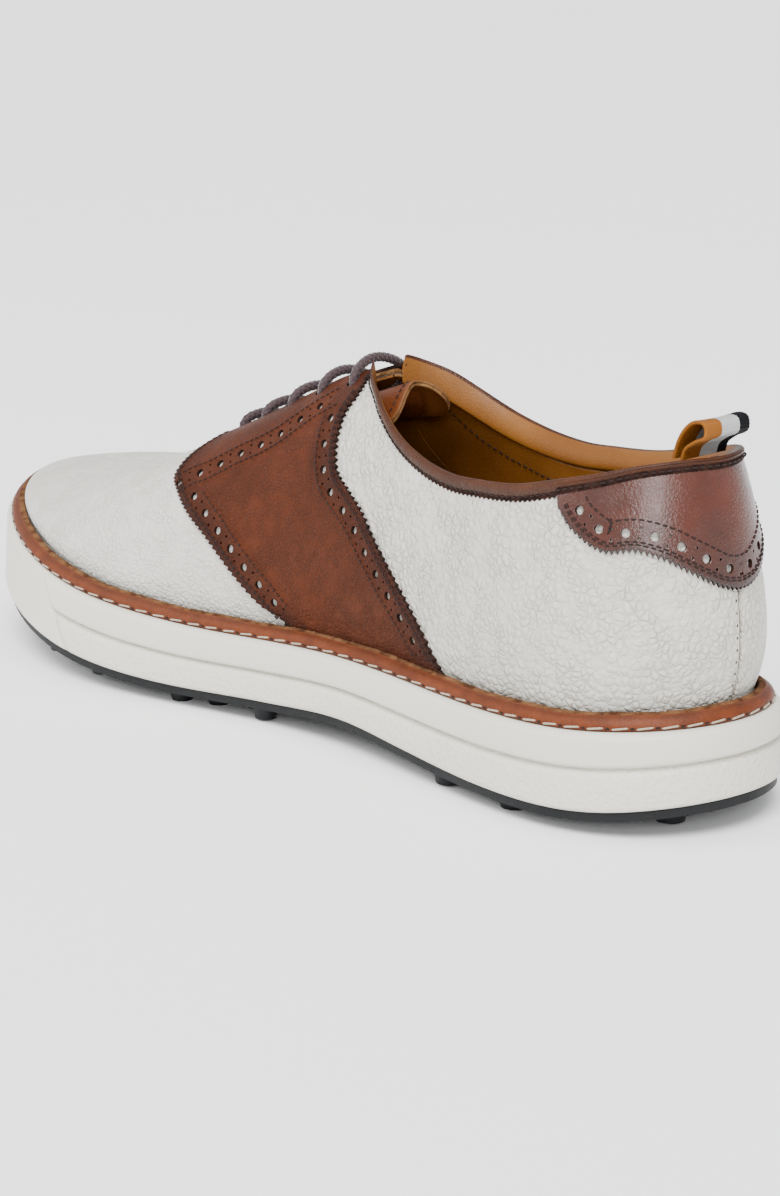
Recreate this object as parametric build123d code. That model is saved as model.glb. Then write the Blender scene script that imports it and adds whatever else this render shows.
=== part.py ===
from build123d import *
import math
import os
import numpy as np

# A right-foot spikeless golf shoe, saddle style. Millimetres.
# +X points to the toe, +Y to the medial side, +Z up, origin under the centre of the footprint.

# ---- driving dimensions ----
heelEnd = -152.0
toeEnd = 152.0
spineHeel = -112.0          # ends of the ridge line that both sides of the upper close onto
spineToe = 112.0
featherInset = 8.0          # the upper meets the welt this far inside the footprint
weltRise = 3.5
leather = 1.3               # outer leather
lining = 0.8
layerGap = 0.3              # air left between two curved layers
skinLift = 1.3              # saddle and heel patch lie on the outer leather
skinGap = 0.2
counterDepth = 2.0          # room between outer leather and lining at the heel and collar
wallThickness = 11.0
outsolePlate = 2.5
lugHeight = 4.0
lugMargin = 2.2             # between a lug and the rim of the footprint
lugRows = [(-134, -60, 13.0, 4.8), (4, 132, 11.0, 4.0)]     # first x, last x, pitch, radius
insetPerWall = 1.5          # how far the wall leans in over its height
floorThickness = 6.0
weltOuterInset = 3.2
weltInnerInset = 6.4
boardThickness = 2.0
footbedThickness = 3.4
coverThickness = 0.8
shankLength = 110.0
shankWidth = 14.0
shankThickness = 1.2
shankMiddle = -35.0
puffThickness = 0.9
stayThickness = 0.14
stayGap = 0.08
tongueDepth = 6.9
laceRadius = 1.5
laceUnder = 4.3             # depth of the lace's centre line under the facing
laceOver = 3.4              # its height over the leather beside an eyelet
laceCrown = 4.6             # and over the middle of the throat
tuckSpots = [(0.14, 4.2), (0.36, 4.9), (0.54, 6.9)]     # climb below an eyelet, and depth
agletLength = 10.0
eyeletFromEdge = 0.13       # climb between an eyelet and the facing's edge
eyeletRadius = 2.3
eyeletRows = [-9.0, 4.0, 17.0, 29.0, 40.0]      # where each lace bar crosses the ridge, in x
tabWidth = 17.0
tabThickness = 1.0
tabFoot = (-128.9, 95.2)    # x and z of the loop's foot
anchorDrop = 2.0            # room under the loop for its foot to turn
anchorHeight = 8.4

# Footprint of the sole, from the back of the heel along the medial side to the toe and back.
outlinePoints = np.array([
    (-152, 2), (-144, 24), (-124, 38.5), (-92, 42), (-60, 39), (-28, 37), (5, 40), (35, 47.2),
    (65, 53.2), (92, 51.5), (120, 41.5), (142, 24.5), (152, 1), (143, -22), (122, -38),
    (95, -48), (60, -53.5), (25, -50), (-15, -44), (-60, -40), (-100, -37), (-128, -31),
    (-146, -17.5)], float)

# Heights along the shoe, as (x, z): foot of the wall, top of the wall, ridge of the upper.
wallFoot = [(-152, 10.5), (-130, 7.3), (-95, 6.3), (-60, 7.5), (-32, 9.0), (0, 7.3), (35, 6.5),
            (70, 9), (100, 13.2), (128, 18.2), (152, 24.5)]
wallTop = [(-152, 30), (-120, 27.6), (-90, 26.5), (-30, 26.3), (30, 25.2), (62, 28), (91, 32.2),
           (125, 38.6), (152, 44.5)]
ridgeTop = [(-125, 130), (-85, 129), (-55, 121), (-28, 108), (0, 97.3), (15, 89.7), (40, 77.1),
            (60, 67.9), (80, 60.5), (100, 56.8), (120, 52.6), (150, 47)]

# Lines drawn on the upper, as (turn round the last, climb from the sole edge in radians).
bottomClimb = -0.10
topline = [(0.0, 0.677), (0.025, 0.677), (0.046, 0.661), (0.065, 0.630), (0.085, 0.602),
           (0.106, 0.579), (0.130, 0.583), (0.149, 0.602), (0.171, 0.681), (0.186, 0.783),
           (0.199, 0.929), (0.209, 1.094), (0.217, 1.24), (0.2215, 1.40)]
saddleFront = [(0.238, bottomClimb), (0.242, 0.02), (0.254, 0.083), (0.265, 0.177),
               (0.276, 0.287), (0.288, 0.413), (0.299, 0.524), (0.312, 0.689), (0.321, 0.82),
               (0.3245, 0.95), (0.326, 1.2), (0.325, 1.535)]
saddleRear = [(0.144, bottomClimb), (0.147, 0.0), (0.151, 0.039), (0.159, 0.122),
              (0.169, 0.205), (0.180, 0.295), (0.191, 0.398), (0.201, 0.508), (0.210, 0.591),
              (0.219, 0.685), (0.2225, 0.787), (0.224, 0.898), (0.2235, 1.02), (0.2205, 1.126)]
facingLine = [(0.2205, 1.385), (0.27, 1.46), (0.325, 1.535)]
underSaddle = [(0.190, bottomClimb), (0.215, 0.4), (0.240, 0.8), (0.238, 1.1), (0.2265, 1.405)]
throatFoot = (0.322, math.pi / 2)
patchEdge = [(0.0, 0.311), (0.012, 0.327), (0.019, 0.350), (0.029, 0.385), (0.038, 0.415),
             (0.047, 0.433), (0.063, 0.433), (0.073, 0.468), (0.080, 0.508), (0.084, 0.547)]


# ---- curves ----
class ClosedSpline:
    """Periodic cubic spline through points, read at 0 to 1 by chord length."""

    def __init__(self, points):
        count = len(points)
        step = np.linalg.norm(np.roll(points, -1, 0) - points, axis=1)
        self.points, self.step, self.count = points, step, count
        self.knots = np.r_[0, np.cumsum(step)]
        matrix = np.zeros((count, count))
        right = np.zeros((count, 2))
        for i in range(count):
            before, after = (i - 1) % count, (i + 1) % count
            matrix[i, before] += step[before]
            matrix[i, i] += 2 * (step[before] + step[i])
            matrix[i, after] += step[i]
            right[i] = 6 * ((points[after] - points[i]) / step[i]
                            - (points[i] - points[before]) / step[before])
        self.bend = np.linalg.solve(matrix, right)

    def at(self, turn):
        distance = (np.asarray(turn, float) % 1) * self.knots[-1]
        i = np.clip(np.searchsorted(self.knots, distance, side="right") - 1, 0, self.count - 1)
        j = (i + 1) % self.count
        h = self.step[i][..., None]
        b = (distance - self.knots[i])[..., None] / h
        a = 1 - b
        p, m = self.points, self.bend
        place = a * p[i] + b * p[j] + ((a ** 3 - a) * m[i] + (b ** 3 - b) * m[j]) * h * h / 6
        along = (p[j] - p[i]) / h + (-(3 * a * a - 1) * m[i] + (3 * b * b - 1) * m[j]) * h / 6
        along = along / np.linalg.norm(along, axis=-1, keepdims=True)
        outward = np.stack([-along[..., 1], along[..., 0]], -1)
        return place, outward


def hermite(points):
    """Smooth height curve through (x, z) points, flat beyond its ends."""
    xs, zs = np.array(points, float).T
    slope = np.gradient(zs, xs)

    def height(x):
        x = np.clip(x, xs[0], xs[-1])
        i = np.clip(np.searchsorted(xs, x) - 1, 0, len(xs) - 2)
        h = xs[i + 1] - xs[i]
        t = (x - xs[i]) / h
        return ((1 + 2 * t) * (1 - t) ** 2 * zs[i] + t * (1 - t) ** 2 * h * slope[i]
                + t * t * (3 - 2 * t) * zs[i + 1] + t * t * (t - 1) * h * slope[i + 1])
    return height


def line(points):
    """Smooth curve through (turn, climb) points, read at 0 to 1 by chord length."""
    pts = np.array(points, float)
    scaled = pts * np.array([700.0, 55.0])
    t = np.r_[0, np.cumsum(np.linalg.norm(np.diff(scaled, axis=0), axis=1))]
    t = t / t[-1]
    slope = np.gradient(pts, t, axis=0)

    def read(u):
        u = np.clip(np.asarray(u, float), 0, 1)
        i = np.clip(np.searchsorted(t, u) - 1, 0, len(t) - 2)
        h = (t[i + 1] - t[i])[..., None]
        w = (u - t[i])[..., None] / h
        return ((1 + 2 * w) * (1 - w) ** 2 * pts[i] + w * (1 - w) ** 2 * h * slope[i]
                + w * w * (3 - 2 * w) * pts[i + 1] + w * w * (w - 1) * h * slope[i + 1])
    return read


def smooth(x):
    x = np.clip(x, 0, 1)
    return x * x * (3 - 2 * x)


outline = ClosedSpline(outlinePoints)
footZ = hermite(wallFoot)
topZ = hermite(wallTop)
ridgeZ = hermite(ridgeTop)


def last(turn, climb, depth):
    """Point on the upper: round the footprint by turn, up to the ridge by climb, in by depth."""
    turn, climb, depth = np.broadcast_arrays(turn, climb, depth)
    place, outward = outline.at(turn)
    foot = place - outward * (featherInset + depth)[..., None]
    footHeight = topZ(place[..., 0]) + weltRise
    medial, medialOut = outline.at(np.minimum(turn % 1, (-turn) % 1))
    share = (medial - medialOut * featherInset)[..., 0] / (toeEnd - heelEnd - 16) + 0.5
    spineX = spineHeel + (spineToe - spineHeel) * share
    spine = np.stack([spineX, 1.5 - 2.0 * np.clip(spineX / 110, 0, 1)], -1)
    rise = np.clip(climb, 0, None)
    flat = foot + (spine - foot) * (1 - np.cos(rise))[..., None]
    heelShare = smooth((-foot[..., 0] - 40) / 80)
    bulge = (1.5 + 1.6 * heelShare) * (rise / 0.22) * np.exp(1 - rise / 0.22) * np.cos(rise)
    flat = flat + outward * bulge[..., None]
    height = footHeight + (ridgeZ(spineX) - depth - footHeight) * np.sin(rise)
    height = height + np.minimum(climb, 0) * 30.0
    return np.concatenate([flat, height[..., None]], -1)


# ---- solids from curved layers ----
def bernstein(degree, samples):
    t = np.linspace(0, 1, samples)
    return np.stack([math.comb(degree, k) * t ** k * (1 - t) ** (degree - k)
                     for k in range(degree + 1)], 1)


def fitter(degree, samples):
    """Matrix that turns samples into Bezier poles, keeping both end samples exactly."""
    basis = bernstein(degree, samples)
    ends = np.zeros((2, samples))
    ends[0, 0] = 1
    ends[1, -1] = 1
    inner = np.linalg.pinv(basis[:, 1:-1]) @ (np.eye(samples) - basis[:, [0, -1]] @ ends)
    return np.vstack([ends[0], inner, ends[1]])


samplesPerSpan = 25
spanDegree = 8
spanFit = fitter(spanDegree, samplesPerSpan)


def bezierFace(poles):
    return Face.make_bezier_surface([[Vector(*p) for p in row] for row in poles])


def layerFaces(place, uBreaks, vBreaks, leaveOpen=()):
    """Faces of a curved slab. place(u, v, side) gives points, side 0 outside and 1 inside.

    leaveOpen names edges joined to another slab: (edge name, span number).
    """
    def spans(breaks):
        return [np.linspace(a, b, samplesPerSpan) for a, b in zip(breaks, breaks[1:])]

    faces = []
    for u in spans(uBreaks):
        for v in spans(vBreaks):
            uu, vv = np.meshgrid(u, v, indexing="ij")
            for side in (0, 1):
                points = place(uu, vv, side)
                poles = np.einsum("ai,ijk,bj->abk", spanFit, points, spanFit)
                faces.append(bezierFace(poles))

    def edgeFaces(name, fixed, breaks, alongU):
        for number, t in enumerate(spans(breaks)):
            if (name, number) in leaveOpen:
                continue
            same = np.full_like(t, fixed)
            rows = [spanFit @ (place(t, same, side) if alongU else place(same, t, side))
                    for side in (0, 1)]
            faces.append(bezierFace(rows))

    edgeFaces("v0", vBreaks[0], uBreaks, True)
    edgeFaces("v1", vBreaks[-1], uBreaks, True)
    edgeFaces("u0", uBreaks[0], vBreaks, False)
    edgeFaces("u1", uBreaks[-1], vBreaks, False)
    return faces


def solidFrom(faces):
    solid = Solid(Shell(faces))
    if solid.volume < 0:
        solid = Solid(-Shell(faces))
    return solid


def coons(bottom, top, left, right):
    """Fill four (turn, climb) curves: bottom and top run with u, left and right with v."""
    def fill(u, v):
        u1, v1 = u[..., None], v[..., None]
        corners = ((1 - u1) * (1 - v1) * bottom(0 * u) + u1 * (1 - v1) * bottom(0 * u + 1)
                   + (1 - u1) * v1 * top(0 * u) + u1 * v1 * top(0 * u + 1))
        return ((1 - v1) * bottom(u) + v1 * top(u) + (1 - u1) * left(v) + u1 * right(v)
                - corners)
    return fill


def onLast(fill, outer, inner, mirror):
    """Place function for a slab between two depths, which may be functions of turn and climb."""
    def place(u, v, side):
        turnClimb = fill(u, v)
        turn, climb = turnClimb[..., 0], turnClimb[..., 1]
        depth = outer if side == 0 else inner
        depth = depth(turn, climb) if callable(depth) else depth
        return last(-turn if mirror else turn, climb, depth)
    return place


def straight(a, b):
    return line([a, ((a[0] + b[0]) / 2, (a[1] + b[1]) / 2), b])


def liningDepth(turn, climb):
    """The lining lies deep over counter and collar foam, and close to the leather at the throat."""
    return leather + layerGap + counterDepth * (1 - smooth((climb - 0.75) / 0.35)) \
        * (1 - smooth((turn - 0.20) / 0.08))


def liningInner(turn, climb):
    return liningDepth(turn, climb) + lining


# ---- slabs under the foot ----
def slab(inset, low, high, xStep=8.0):
    """Footprint pulled in by inset, between two height curves of x."""
    turns = np.linspace(0, 1, 60, endpoint=False)
    place, outward = outline.at(turns)
    inner = place - outward * inset
    rim = Spline(*[(x, y, 0) for x, y in inner], periodic=True)
    block = extrude(make_face(Wire([rim])), amount=80)
    xs = np.arange(heelEnd - 6, toeEnd + 6.1, xStep)
    upperLine = Spline(*[(x, 0, z) for x, z in zip(xs, high(xs))])
    lowerLine = Spline(*[(x, 0, z) for x, z in zip(xs, low(xs))])
    sides = [Line(upperLine @ 0, lowerLine @ 0), Line(upperLine @ 1, lowerLine @ 1)]
    profile = Face(Wire([upperLine, lowerLine, *sides]))
    between = extrude(profile, amount=70, dir=(0, 1, 0), both=True)
    return (block & between).solid()


def lifted(curve, by):
    return lambda x: curve(x) + by


def lugs():
    """Rows of round rubber nubs: larger ones under the heel, smaller ones under the forefoot."""
    found = []
    for start, end, pitch, radius in lugRows:
        count = int(round((end - start) / pitch)) + 1
        for column, x in enumerate(np.linspace(start, end, count)):
            shift = pitch / 2 if column % 2 else 0.0
            for y in np.arange(-5, 6) * pitch + shift:
                if insideFootprint(x, y, radius + lugMargin):
                    base = float(footZ(x)) - outsolePlate
                    foot = max(0.0, base - lugHeight)
                    found.append((x, y, foot, base + 0.8, radius))
    return found


def insideFootprint(x, y, margin):
    place, outward = outline.at(np.linspace(0, 1, 400, endpoint=False))
    nearest = np.argmin(np.hypot(place[:, 0] - x, place[:, 1] - y))
    inward = np.dot(place[nearest] - np.array([x, y]), outward[nearest])
    return inward > margin


def makeOutsole():
    plate = slab(1.2, lifted(footZ, -outsolePlate), lifted(footZ, -0.15))
    nubs = []
    for x, y, foot, top, radius in lugs():
        nub = Solid.make_cone(radius - 0.9, radius, top - foot, Plane((x, y, foot)))
        nubs.append(nub)
    return (plate + nubs).solid()


def makeCupSole():
    """Leaning wall round the rim with a floor, hollow where the cushion lies."""
    def place(start, end):
        def points(u, v, side):
            spot, outward = outline.at(start + (end - start) * u)
            low, high = footZ(spot[..., 0]), topZ(spot[..., 0])
            inset = insetPerWall * v if side == 0 else wallThickness
            flat = spot - outward * (np.zeros_like(u) + inset)[..., None]
            return np.concatenate([flat, (low + (high - low) * v)[..., None]], -1)
        return points

    faces = []
    turns = np.linspace(0, 1, 5)
    for a, b in zip(turns, turns[1:]):
        faces += layerFaces(place(a, b), [0, 1], [0, 1], (("u0", 0), ("u1", 0)))
    floor = slab(wallThickness - 1.0, lifted(footZ, 0.1), lifted(footZ, floorThickness))
    return (solidFrom(faces) + floor).solid()


def makeWelt():
    """Flat leather strip lying on the wall's top edge, right round the upper."""
    def place(start, end):
        def points(u, v, side):
            spot, outward = outline.at(start + (end - start) * u)
            inset = weltOuterInset + v * (weltInnerInset - weltOuterInset)
            flat = spot - outward * inset[..., None]
            high = topZ(spot[..., 0]) + (weltRise if side == 0 else 0.1)
            return np.concatenate([flat, high[..., None]], -1)
        return points

    faces = []
    turns = np.linspace(0, 1, 5)
    for a, b in zip(turns, turns[1:]):
        faces += layerFaces(place(a, b), [0, 1], [0, 1], (("u0", 0), ("u1", 0)))
    return solidFrom(faces)


def makeShank():
    """Strip of spring steel under the waist, following the bottom of the board."""
    half = shankWidth / 2
    seat = lifted(topZ, -shankThickness - 0.3)
    strip = slab(wallThickness + 5, seat, lifted(topZ, -0.3))
    return (strip & Pos(shankMiddle, 0, 30) * Box(shankLength, 2 * half, 80)).solid()


def makeCushion():
    """Foam that fills the cup sole's hollow, with a pocket for the shank."""
    foam = slab(wallThickness + 0.3, lifted(footZ, floorThickness + 0.2), lifted(topZ, -0.2))
    pocket = slab(wallThickness + 4, lifted(topZ, -shankThickness - 0.5), lifted(topZ, 2.0))
    box = Pos(shankMiddle, 0, 30) * Box(shankLength + 1, shankWidth + 1, 80)
    return (foam - (pocket & box)).solid()


# ---- pieces of the upper ----
def makeQuarter(mirror, outer=0.0, inner=leather, back=0.0006, sink=0.0):
    """Back seam to the line under the saddle, sole edge to topline."""
    top = line([(max(t, back), c - sink) for t, c in topline[:-1]] + [underSaddle[-1]])
    right = line(underSaddle)
    left = straight((back, bottomClimb), (back, topline[0][1] - sink))
    fill = coons(straight((back, bottomClimb), underSaddle[0]), top, left, right)
    place = onLast(fill, outer, inner, mirror)
    return punched(solidFrom(layerFaces(place, [0, 0.3, 0.62, 0.86, 1], [0, 1])), mirror)


def makeVamp(outer=0.0, inner=leather, rear=None, foot=throatFoot):
    """Toe piece: both sides joined along the toe's middle and along the ridge."""
    rear = rear or [(t + 0.0006, c) for t, c in underSaddle]
    split = 0.5
    toe = 0.5
    edge = line([rear[-1], ((rear[-1][0] + foot[0]) / 2, (rear[-1][1] + foot[1]) / 2), foot])
    ridge = straight(foot, (toe, foot[1]))
    base = straight(rear[0], (toe, bottomClimb))

    def top(u):
        before = edge(np.clip(u / split, 0, 1))
        after = ridge(np.clip((u - split) / (1 - split), 0, 1))
        return np.where((u < split)[..., None], before, after)

    fill = coons(base, top, line(rear), straight((toe, bottomClimb), (toe, foot[1])))
    faces = []
    for mirror in (False, True):
        def sided(u, v, mirror=mirror):
            turnClimb = fill(u, v)
            if mirror:
                turnClimb = np.stack([1 - turnClimb[..., 0], turnClimb[..., 1]], -1)
            return turnClimb
        place = onLast(sided, outer, inner, False)
        openEdges = (("v1", 1), ("v1", 2), ("u1", 0), ("u1", 1))
        faces += layerFaces(place, [0, split, 0.75, 1], [0, 0.5, 1], openEdges)
    return punched(punched(solidFrom(faces), False), True)


def makeSaddle(mirror):
    """Brown leather across the waist, with the facing along the throat."""
    top = line(facingLine)
    rear = line(saddleRear + facingLine[:1])
    fill = coons(straight(saddleRear[0], saddleFront[0]), top, rear, line(saddleFront))
    place = onLast(fill, -skinLift, -skinGap, mirror)
    return punched(solidFrom(layerFaces(place, [0, 0.5, 1], [0, 0.5, 1])), mirror)


def makePatch():
    """Heel patch: lies on both quarters, from its shaped lower edge up to the topline."""
    lower = line([(-t, c) for t, c in reversed(patchEdge)] + patchEdge[1:])
    tops = [(t, c - 0.02) for t, c in topline[:5]]
    upper = line([(-t, c) for t, c in reversed(tops)] + tops[1:])
    end = (patchEdge[-1][0], patchEdge[-1][1])
    side = (tops[-1][0], tops[-1][1])
    fill = coons(lower, upper, straight((-end[0], end[1]), (-side[0], side[1])),
                 straight(end, side))
    place = onLast(fill, -skinLift, -skinGap, False)
    return solidFrom(layerFaces(place, [0, 0.25, 0.5, 0.75, 1], [0, 1]))


def ringAlongTopline(inner, outer, low, high):
    """Bar along the whole topline, between two depths and two heights over the edge."""
    half = line(topline[:-1])
    count = 6
    breaks = np.linspace(0, 1, count + 1)

    def place(u, v, side):
        away = np.abs(u - 0.5) * 2
        turnClimb = half(away)
        turn = np.where(u < 0.5, -turnClimb[..., 0], turnClimb[..., 0])
        depth = outer if side == 0 else inner
        point = last(turn, turnClimb[..., 1], np.zeros_like(u) + depth)
        point[..., 2] = point[..., 2] + low + (high - low) * v
        return point

    return solidFrom(layerFaces(place, list(breaks), [0, 1]))


def makeCounter():
    """Stiff cup round the heel, in the room between the quarters and their lining."""
    reach = 0.125
    lower = line([(-reach, bottomClimb), (0, bottomClimb), (reach, bottomClimb)])
    upper = line([(-reach, 0.12), (-0.06, 0.30), (0, 0.34), (0.06, 0.30), (reach, 0.12)])
    fill = coons(lower, upper, straight((-reach, bottomClimb), (-reach, 0.12)),
                 straight((reach, bottomClimb), (reach, 0.12)))
    inner = leather + layerGap + counterDepth - 0.3
    place = onLast(fill, leather + layerGap + 0.1, inner, False)
    return solidFrom(layerFaces(place, [0, 0.25, 0.5, 0.75, 1], [0, 1]))


def makeCollarFoam(mirror):
    """Soft roll behind the topline, from the back seam to the side."""
    turns = [0.004, 0.04, 0.085, 0.13, 0.165]
    lower = line([(t, 0.42) for t in turns])
    upper = line([(t, float(np.interp(t, *zip(*topline))) - 0.05) for t in turns])
    fill = coons(lower, upper, straight((turns[0], 0.42), tuple(upper(np.array(0.0)))),
                 straight((turns[-1], 0.42), tuple(upper(np.array(1.0)))))
    inner = leather + layerGap + counterDepth - 0.3
    place = onLast(fill, leather + layerGap, inner, mirror)
    return solidFrom(layerFaces(place, [0, 0.5, 1], [0, 1]))


def makeLining(mirror):
    """Tan leather inside each quarter, from the back seam to the vamp lining."""
    return makeQuarter(mirror, liningDepth, liningInner, sink=0.012)


def makeVampLining():
    rear = [(t + 0.0010, c) for t, c in underSaddle]
    return makeVamp(toeLiningDepth, lambda t, c: toeLiningDepth(t, c) + lining, rear)


def toeLiningDepth(turn, climb):
    """Meets the quarter lining under the saddle and leaves room for the toe puff ahead of it."""
    away = np.minimum(turn, 1 - turn)
    ahead = smooth((away - 0.33) / 0.09)
    room = leather + 2 * layerGap + puffThickness
    return liningDepth(np.minimum(away, 0.24), climb) * (1 - ahead) + room * ahead


def makeToePuff():
    """Stiffener over the toe cap: both sides joined along the toe's middle."""
    start = 0.415
    lower = straight((start, bottomClimb), (0.5, bottomClimb))
    upper = straight((start, 1.2), (0.5, 1.2))
    fill = coons(lower, upper, straight((start, bottomClimb), (start, 1.2)),
                 straight((0.5, bottomClimb), (0.5, 1.2)))
    faces = []
    for mirror in (False, True):
        def sided(u, v, mirror=mirror):
            turnClimb = fill(u, v)
            if mirror:
                turnClimb = np.stack([1 - turnClimb[..., 0], turnClimb[..., 1]], -1)
            return turnClimb
        place = onLast(sided, leather + layerGap, leather + layerGap + puffThickness, False)
        faces += layerFaces(place, [0, 1], [0, 1], (("u1", 0),))
    return solidFrom(faces)


def makeFacingStay(mirror):
    """Reinforcing tape under the lace holes, between leather and lining."""
    lower = line([(0.236, 1.10), (0.27, 1.18), (0.31, 1.30)])
    upper = line([(0.236, 1.36), (0.27, 1.43), (0.31, 1.50)])
    fill = coons(lower, upper, straight((0.236, 1.10), (0.236, 1.36)),
                 straight((0.31, 1.30), (0.31, 1.50)))
    place = onLast(fill, leather + stayGap, leather + stayGap + stayThickness, mirror)
    return punched(solidFrom(layerFaces(place, [0, 1], [0, 1])), mirror)


# ---- tongue ----
def makeTongueLayer(outer, inner, sides=0.0, reach=0.0):
    """Arched flap under the throat: both halves joined along the ridge."""
    lower = line([(0.200 + reach, 1.16), (0.203 + reach, 1.0 + sides), (0.24, 1.10 + sides),
                  (0.29, 1.15 + sides), (0.335 - reach, 1.20 + sides)])
    upper = straight((0.200 + reach, math.pi / 2), (0.335 - reach, math.pi / 2))
    left = straight((0.200 + reach, 1.16), (0.200 + reach, math.pi / 2))
    right = straight((0.335 - reach, 1.20 + sides), (0.335 - reach, math.pi / 2))
    fill = coons(lower, upper, left, right)
    faces = []
    for mirror in (False, True):
        def sided(u, v, mirror=mirror):
            turnClimb = fill(u, v)
            if mirror:
                turnClimb = np.stack([1 - turnClimb[..., 0], turnClimb[..., 1]], -1)
            return turnClimb
        place = onLast(sided, outer, inner, False)
        faces += layerFaces(place, [0, 0.3, 1], [0, 1], (("v1", 0), ("v1", 1)))
    return solidFrom(faces)


# ---- lace ----
def turnAtSpine(x):
    """Turn on the medial side whose ridge point lies at x."""
    turns = np.linspace(0.15, 0.40, 800)
    ridgeX = last(turns, math.pi / 2, 0.0)[..., 0]
    return float(np.interp(x, ridgeX, turns))


def facingEdge(turn):
    """Climb of the facing's free edge beside the throat."""
    return float(np.interp(turn, *zip(*facingLine)))


def eyelet(x, mirror, depth):
    turn = turnAtSpine(x)
    climb = facingEdge(turn) - eyeletFromEdge
    return last(np.array(-turn if mirror else turn), np.array(climb), np.array(depth))


def laceRoute():
    """Bars straight over the throat, one after another, running back under the facing.

    Both ends are tucked down beside the tongue.
    """
    rows = list(reversed(eyeletRows))
    mirror = True
    route = [tucked(rows[0], mirror, *spot) for spot in reversed(tuckSpots)]
    for x in rows:
        crown = last(np.array(turnAtSpine(x)), np.array(math.pi / 2), np.array(-laceCrown))
        route += [eyelet(x, mirror, laceUnder), eyelet(x, mirror, -laceOver), crown,
                  eyelet(x, not mirror, -laceOver), eyelet(x, not mirror, laceUnder)]
        mirror = not mirror
    route += [tucked(rows[-1], mirror, *spot) for spot in tuckSpots]
    return [Vector(*p) for p in route]


def tucked(x, mirror, drop, depth):
    """Point beside the tongue, below an eyelet by a drop in climb."""
    turn = turnAtSpine(x)
    climb = facingEdge(turn) - eyeletFromEdge - drop
    return last(np.array(-turn if mirror else turn), np.array(climb), np.array(depth))


def roundedTube(points, radius, limit):
    """Tube on straight runs joined by tangent arcs, each as large as its runs allow."""
    radii = []
    for a, b, c in zip(points, points[1:], points[2:]):
        turn = math.radians((b - a).get_angle(c - b))
        run = min((b - a).length, (c - b).length)
        radii.append(min(limit, 0.45 * run / math.tan(turn / 2)))
    path = FilletPolyline(*points, radius=radii)
    section = Plane(path @ 0, z_dir=path % 0) * Circle(radius)
    tube = sweep(section, path=path, transition=Transition.RIGHT)
    print("tube radii", [round(r, 1) for r in radii])
    print("tube volume", round(tube.volume), "of", round(math.pi * radius ** 2 * path.length))
    return tube.solid(), path


def punched(shape, mirror):
    """Cut the lace holes of one side through a piece of the facing."""
    for x in eyeletRows:
        low, high = eyelet(x, mirror, 9.0), eyelet(x, mirror, -6.0)
        axis = Vector(*high) - Vector(*low)
        hole = extrude(Plane(Vector(*low), z_dir=axis) * Circle(eyeletRadius), axis.length)
        shape = shape - hole
    return shape.solid()


# ---- pull tab ----
def makeTab():
    """Ribbon loop standing on the collar at the heel, leaning back."""
    x, z = tabFoot
    middle = Spline((x + 1.2, 0, z), (x - 0.4, 0, z + 5.5), (x - 3.0, 0, z + 10.5),
                    (x - 6.0, 0, z + 13.0), (x - 9.4, 0, z + 12.8), (x - 9.6, 0, z + 9.8),
                    (x - 5.6, 0, z + 6.6), (x - 2.2, 0, z + 3.4), (x - 1.4, 0, z))
    rims = []
    for side in (-0.5, 0.5):
        rim = []
        for t in np.linspace(0, 1, 17):
            along = middle % float(t)
            rim.append(middle @ float(t) + Vector(along.Z, 0, -along.X) * side * tabThickness)
        rims.append(rim)
    inner, outer = Spline(*rims[0]), Spline(*rims[1])
    caps = [Line(inner @ 0, outer @ 0), Line(inner @ 1, outer @ 1)]
    strip = Face(Wire([inner, outer, *caps]))
    return extrude(strip, amount=tabWidth / 2, dir=(0, 1, 0), both=True).solid()


def makeTabAnchor():
    """The ribbon's two ends, sewn flat inside the collar below the loop."""
    x, z = tabFoot
    top = z - anchorDrop
    return Pos(x, 0, top - anchorHeight / 2) * Box(2 * tabThickness, tabWidth, anchorHeight)


# ---- build ----
os.makedirs("parts", exist_ok=True)
parts = {}
parts["outsole"] = makeOutsole()
parts["cup_sole"] = makeCupSole()
parts["cushion_insert"] = makeCushion()
parts["shank"] = makeShank()
boardInset = leather + layerGap + counterDepth + lining + featherInset + 0.5
boardTop = boardThickness + 0.2
footbedTop = boardTop + 0.2 + footbedThickness
parts["insole_board"] = slab(boardInset, lifted(topZ, 0.2), lifted(topZ, boardTop))
parts["footbed_foam"] = slab(boardInset + 0.3, lifted(topZ, boardTop + 0.2),
                             lifted(topZ, footbedTop))
parts["footbed_cover"] = slab(boardInset + 0.3, lifted(topZ, footbedTop),
                              lifted(topZ, footbedTop + coverThickness))
parts["welt"] = makeWelt()
parts["vamp"] = makeVamp()
parts["vamp_lining"] = makeVampLining()
parts["toe_puff"] = makeToePuff()
parts["heel_patch"] = makePatch()
parts["heel_counter"] = makeCounter()
parts["collar_binding"] = ringAlongTopline(
    leather + layerGap + counterDepth + lining + 0.3, -1.0, 0.5, 3.4)
parts["tongue"] = makeTongueLayer(tongueDepth, tongueDepth + 1.0)
parts["tongue_foam"] = makeTongueLayer(tongueDepth + 1.2, tongueDepth + 3.8, 0.06, 0.008)
parts["tongue_lining"] = makeTongueLayer(tongueDepth + 4.0, tongueDepth + 4.8)
for name, mirror in (("medial", False), ("lateral", True)):
    parts["quarter_" + name] = makeQuarter(mirror)
    parts["quarter_lining_" + name] = makeLining(mirror)
    parts["collar_foam_" + name] = makeCollarFoam(mirror)
    parts["facing_stay_" + name] = makeFacingStay(mirror)
    parts["saddle_" + name] = makeSaddle(mirror)
lace, laceLine = roundedTube(laceRoute(), laceRadius, 3.3)
parts["lace"] = lace
aglets = []
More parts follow.
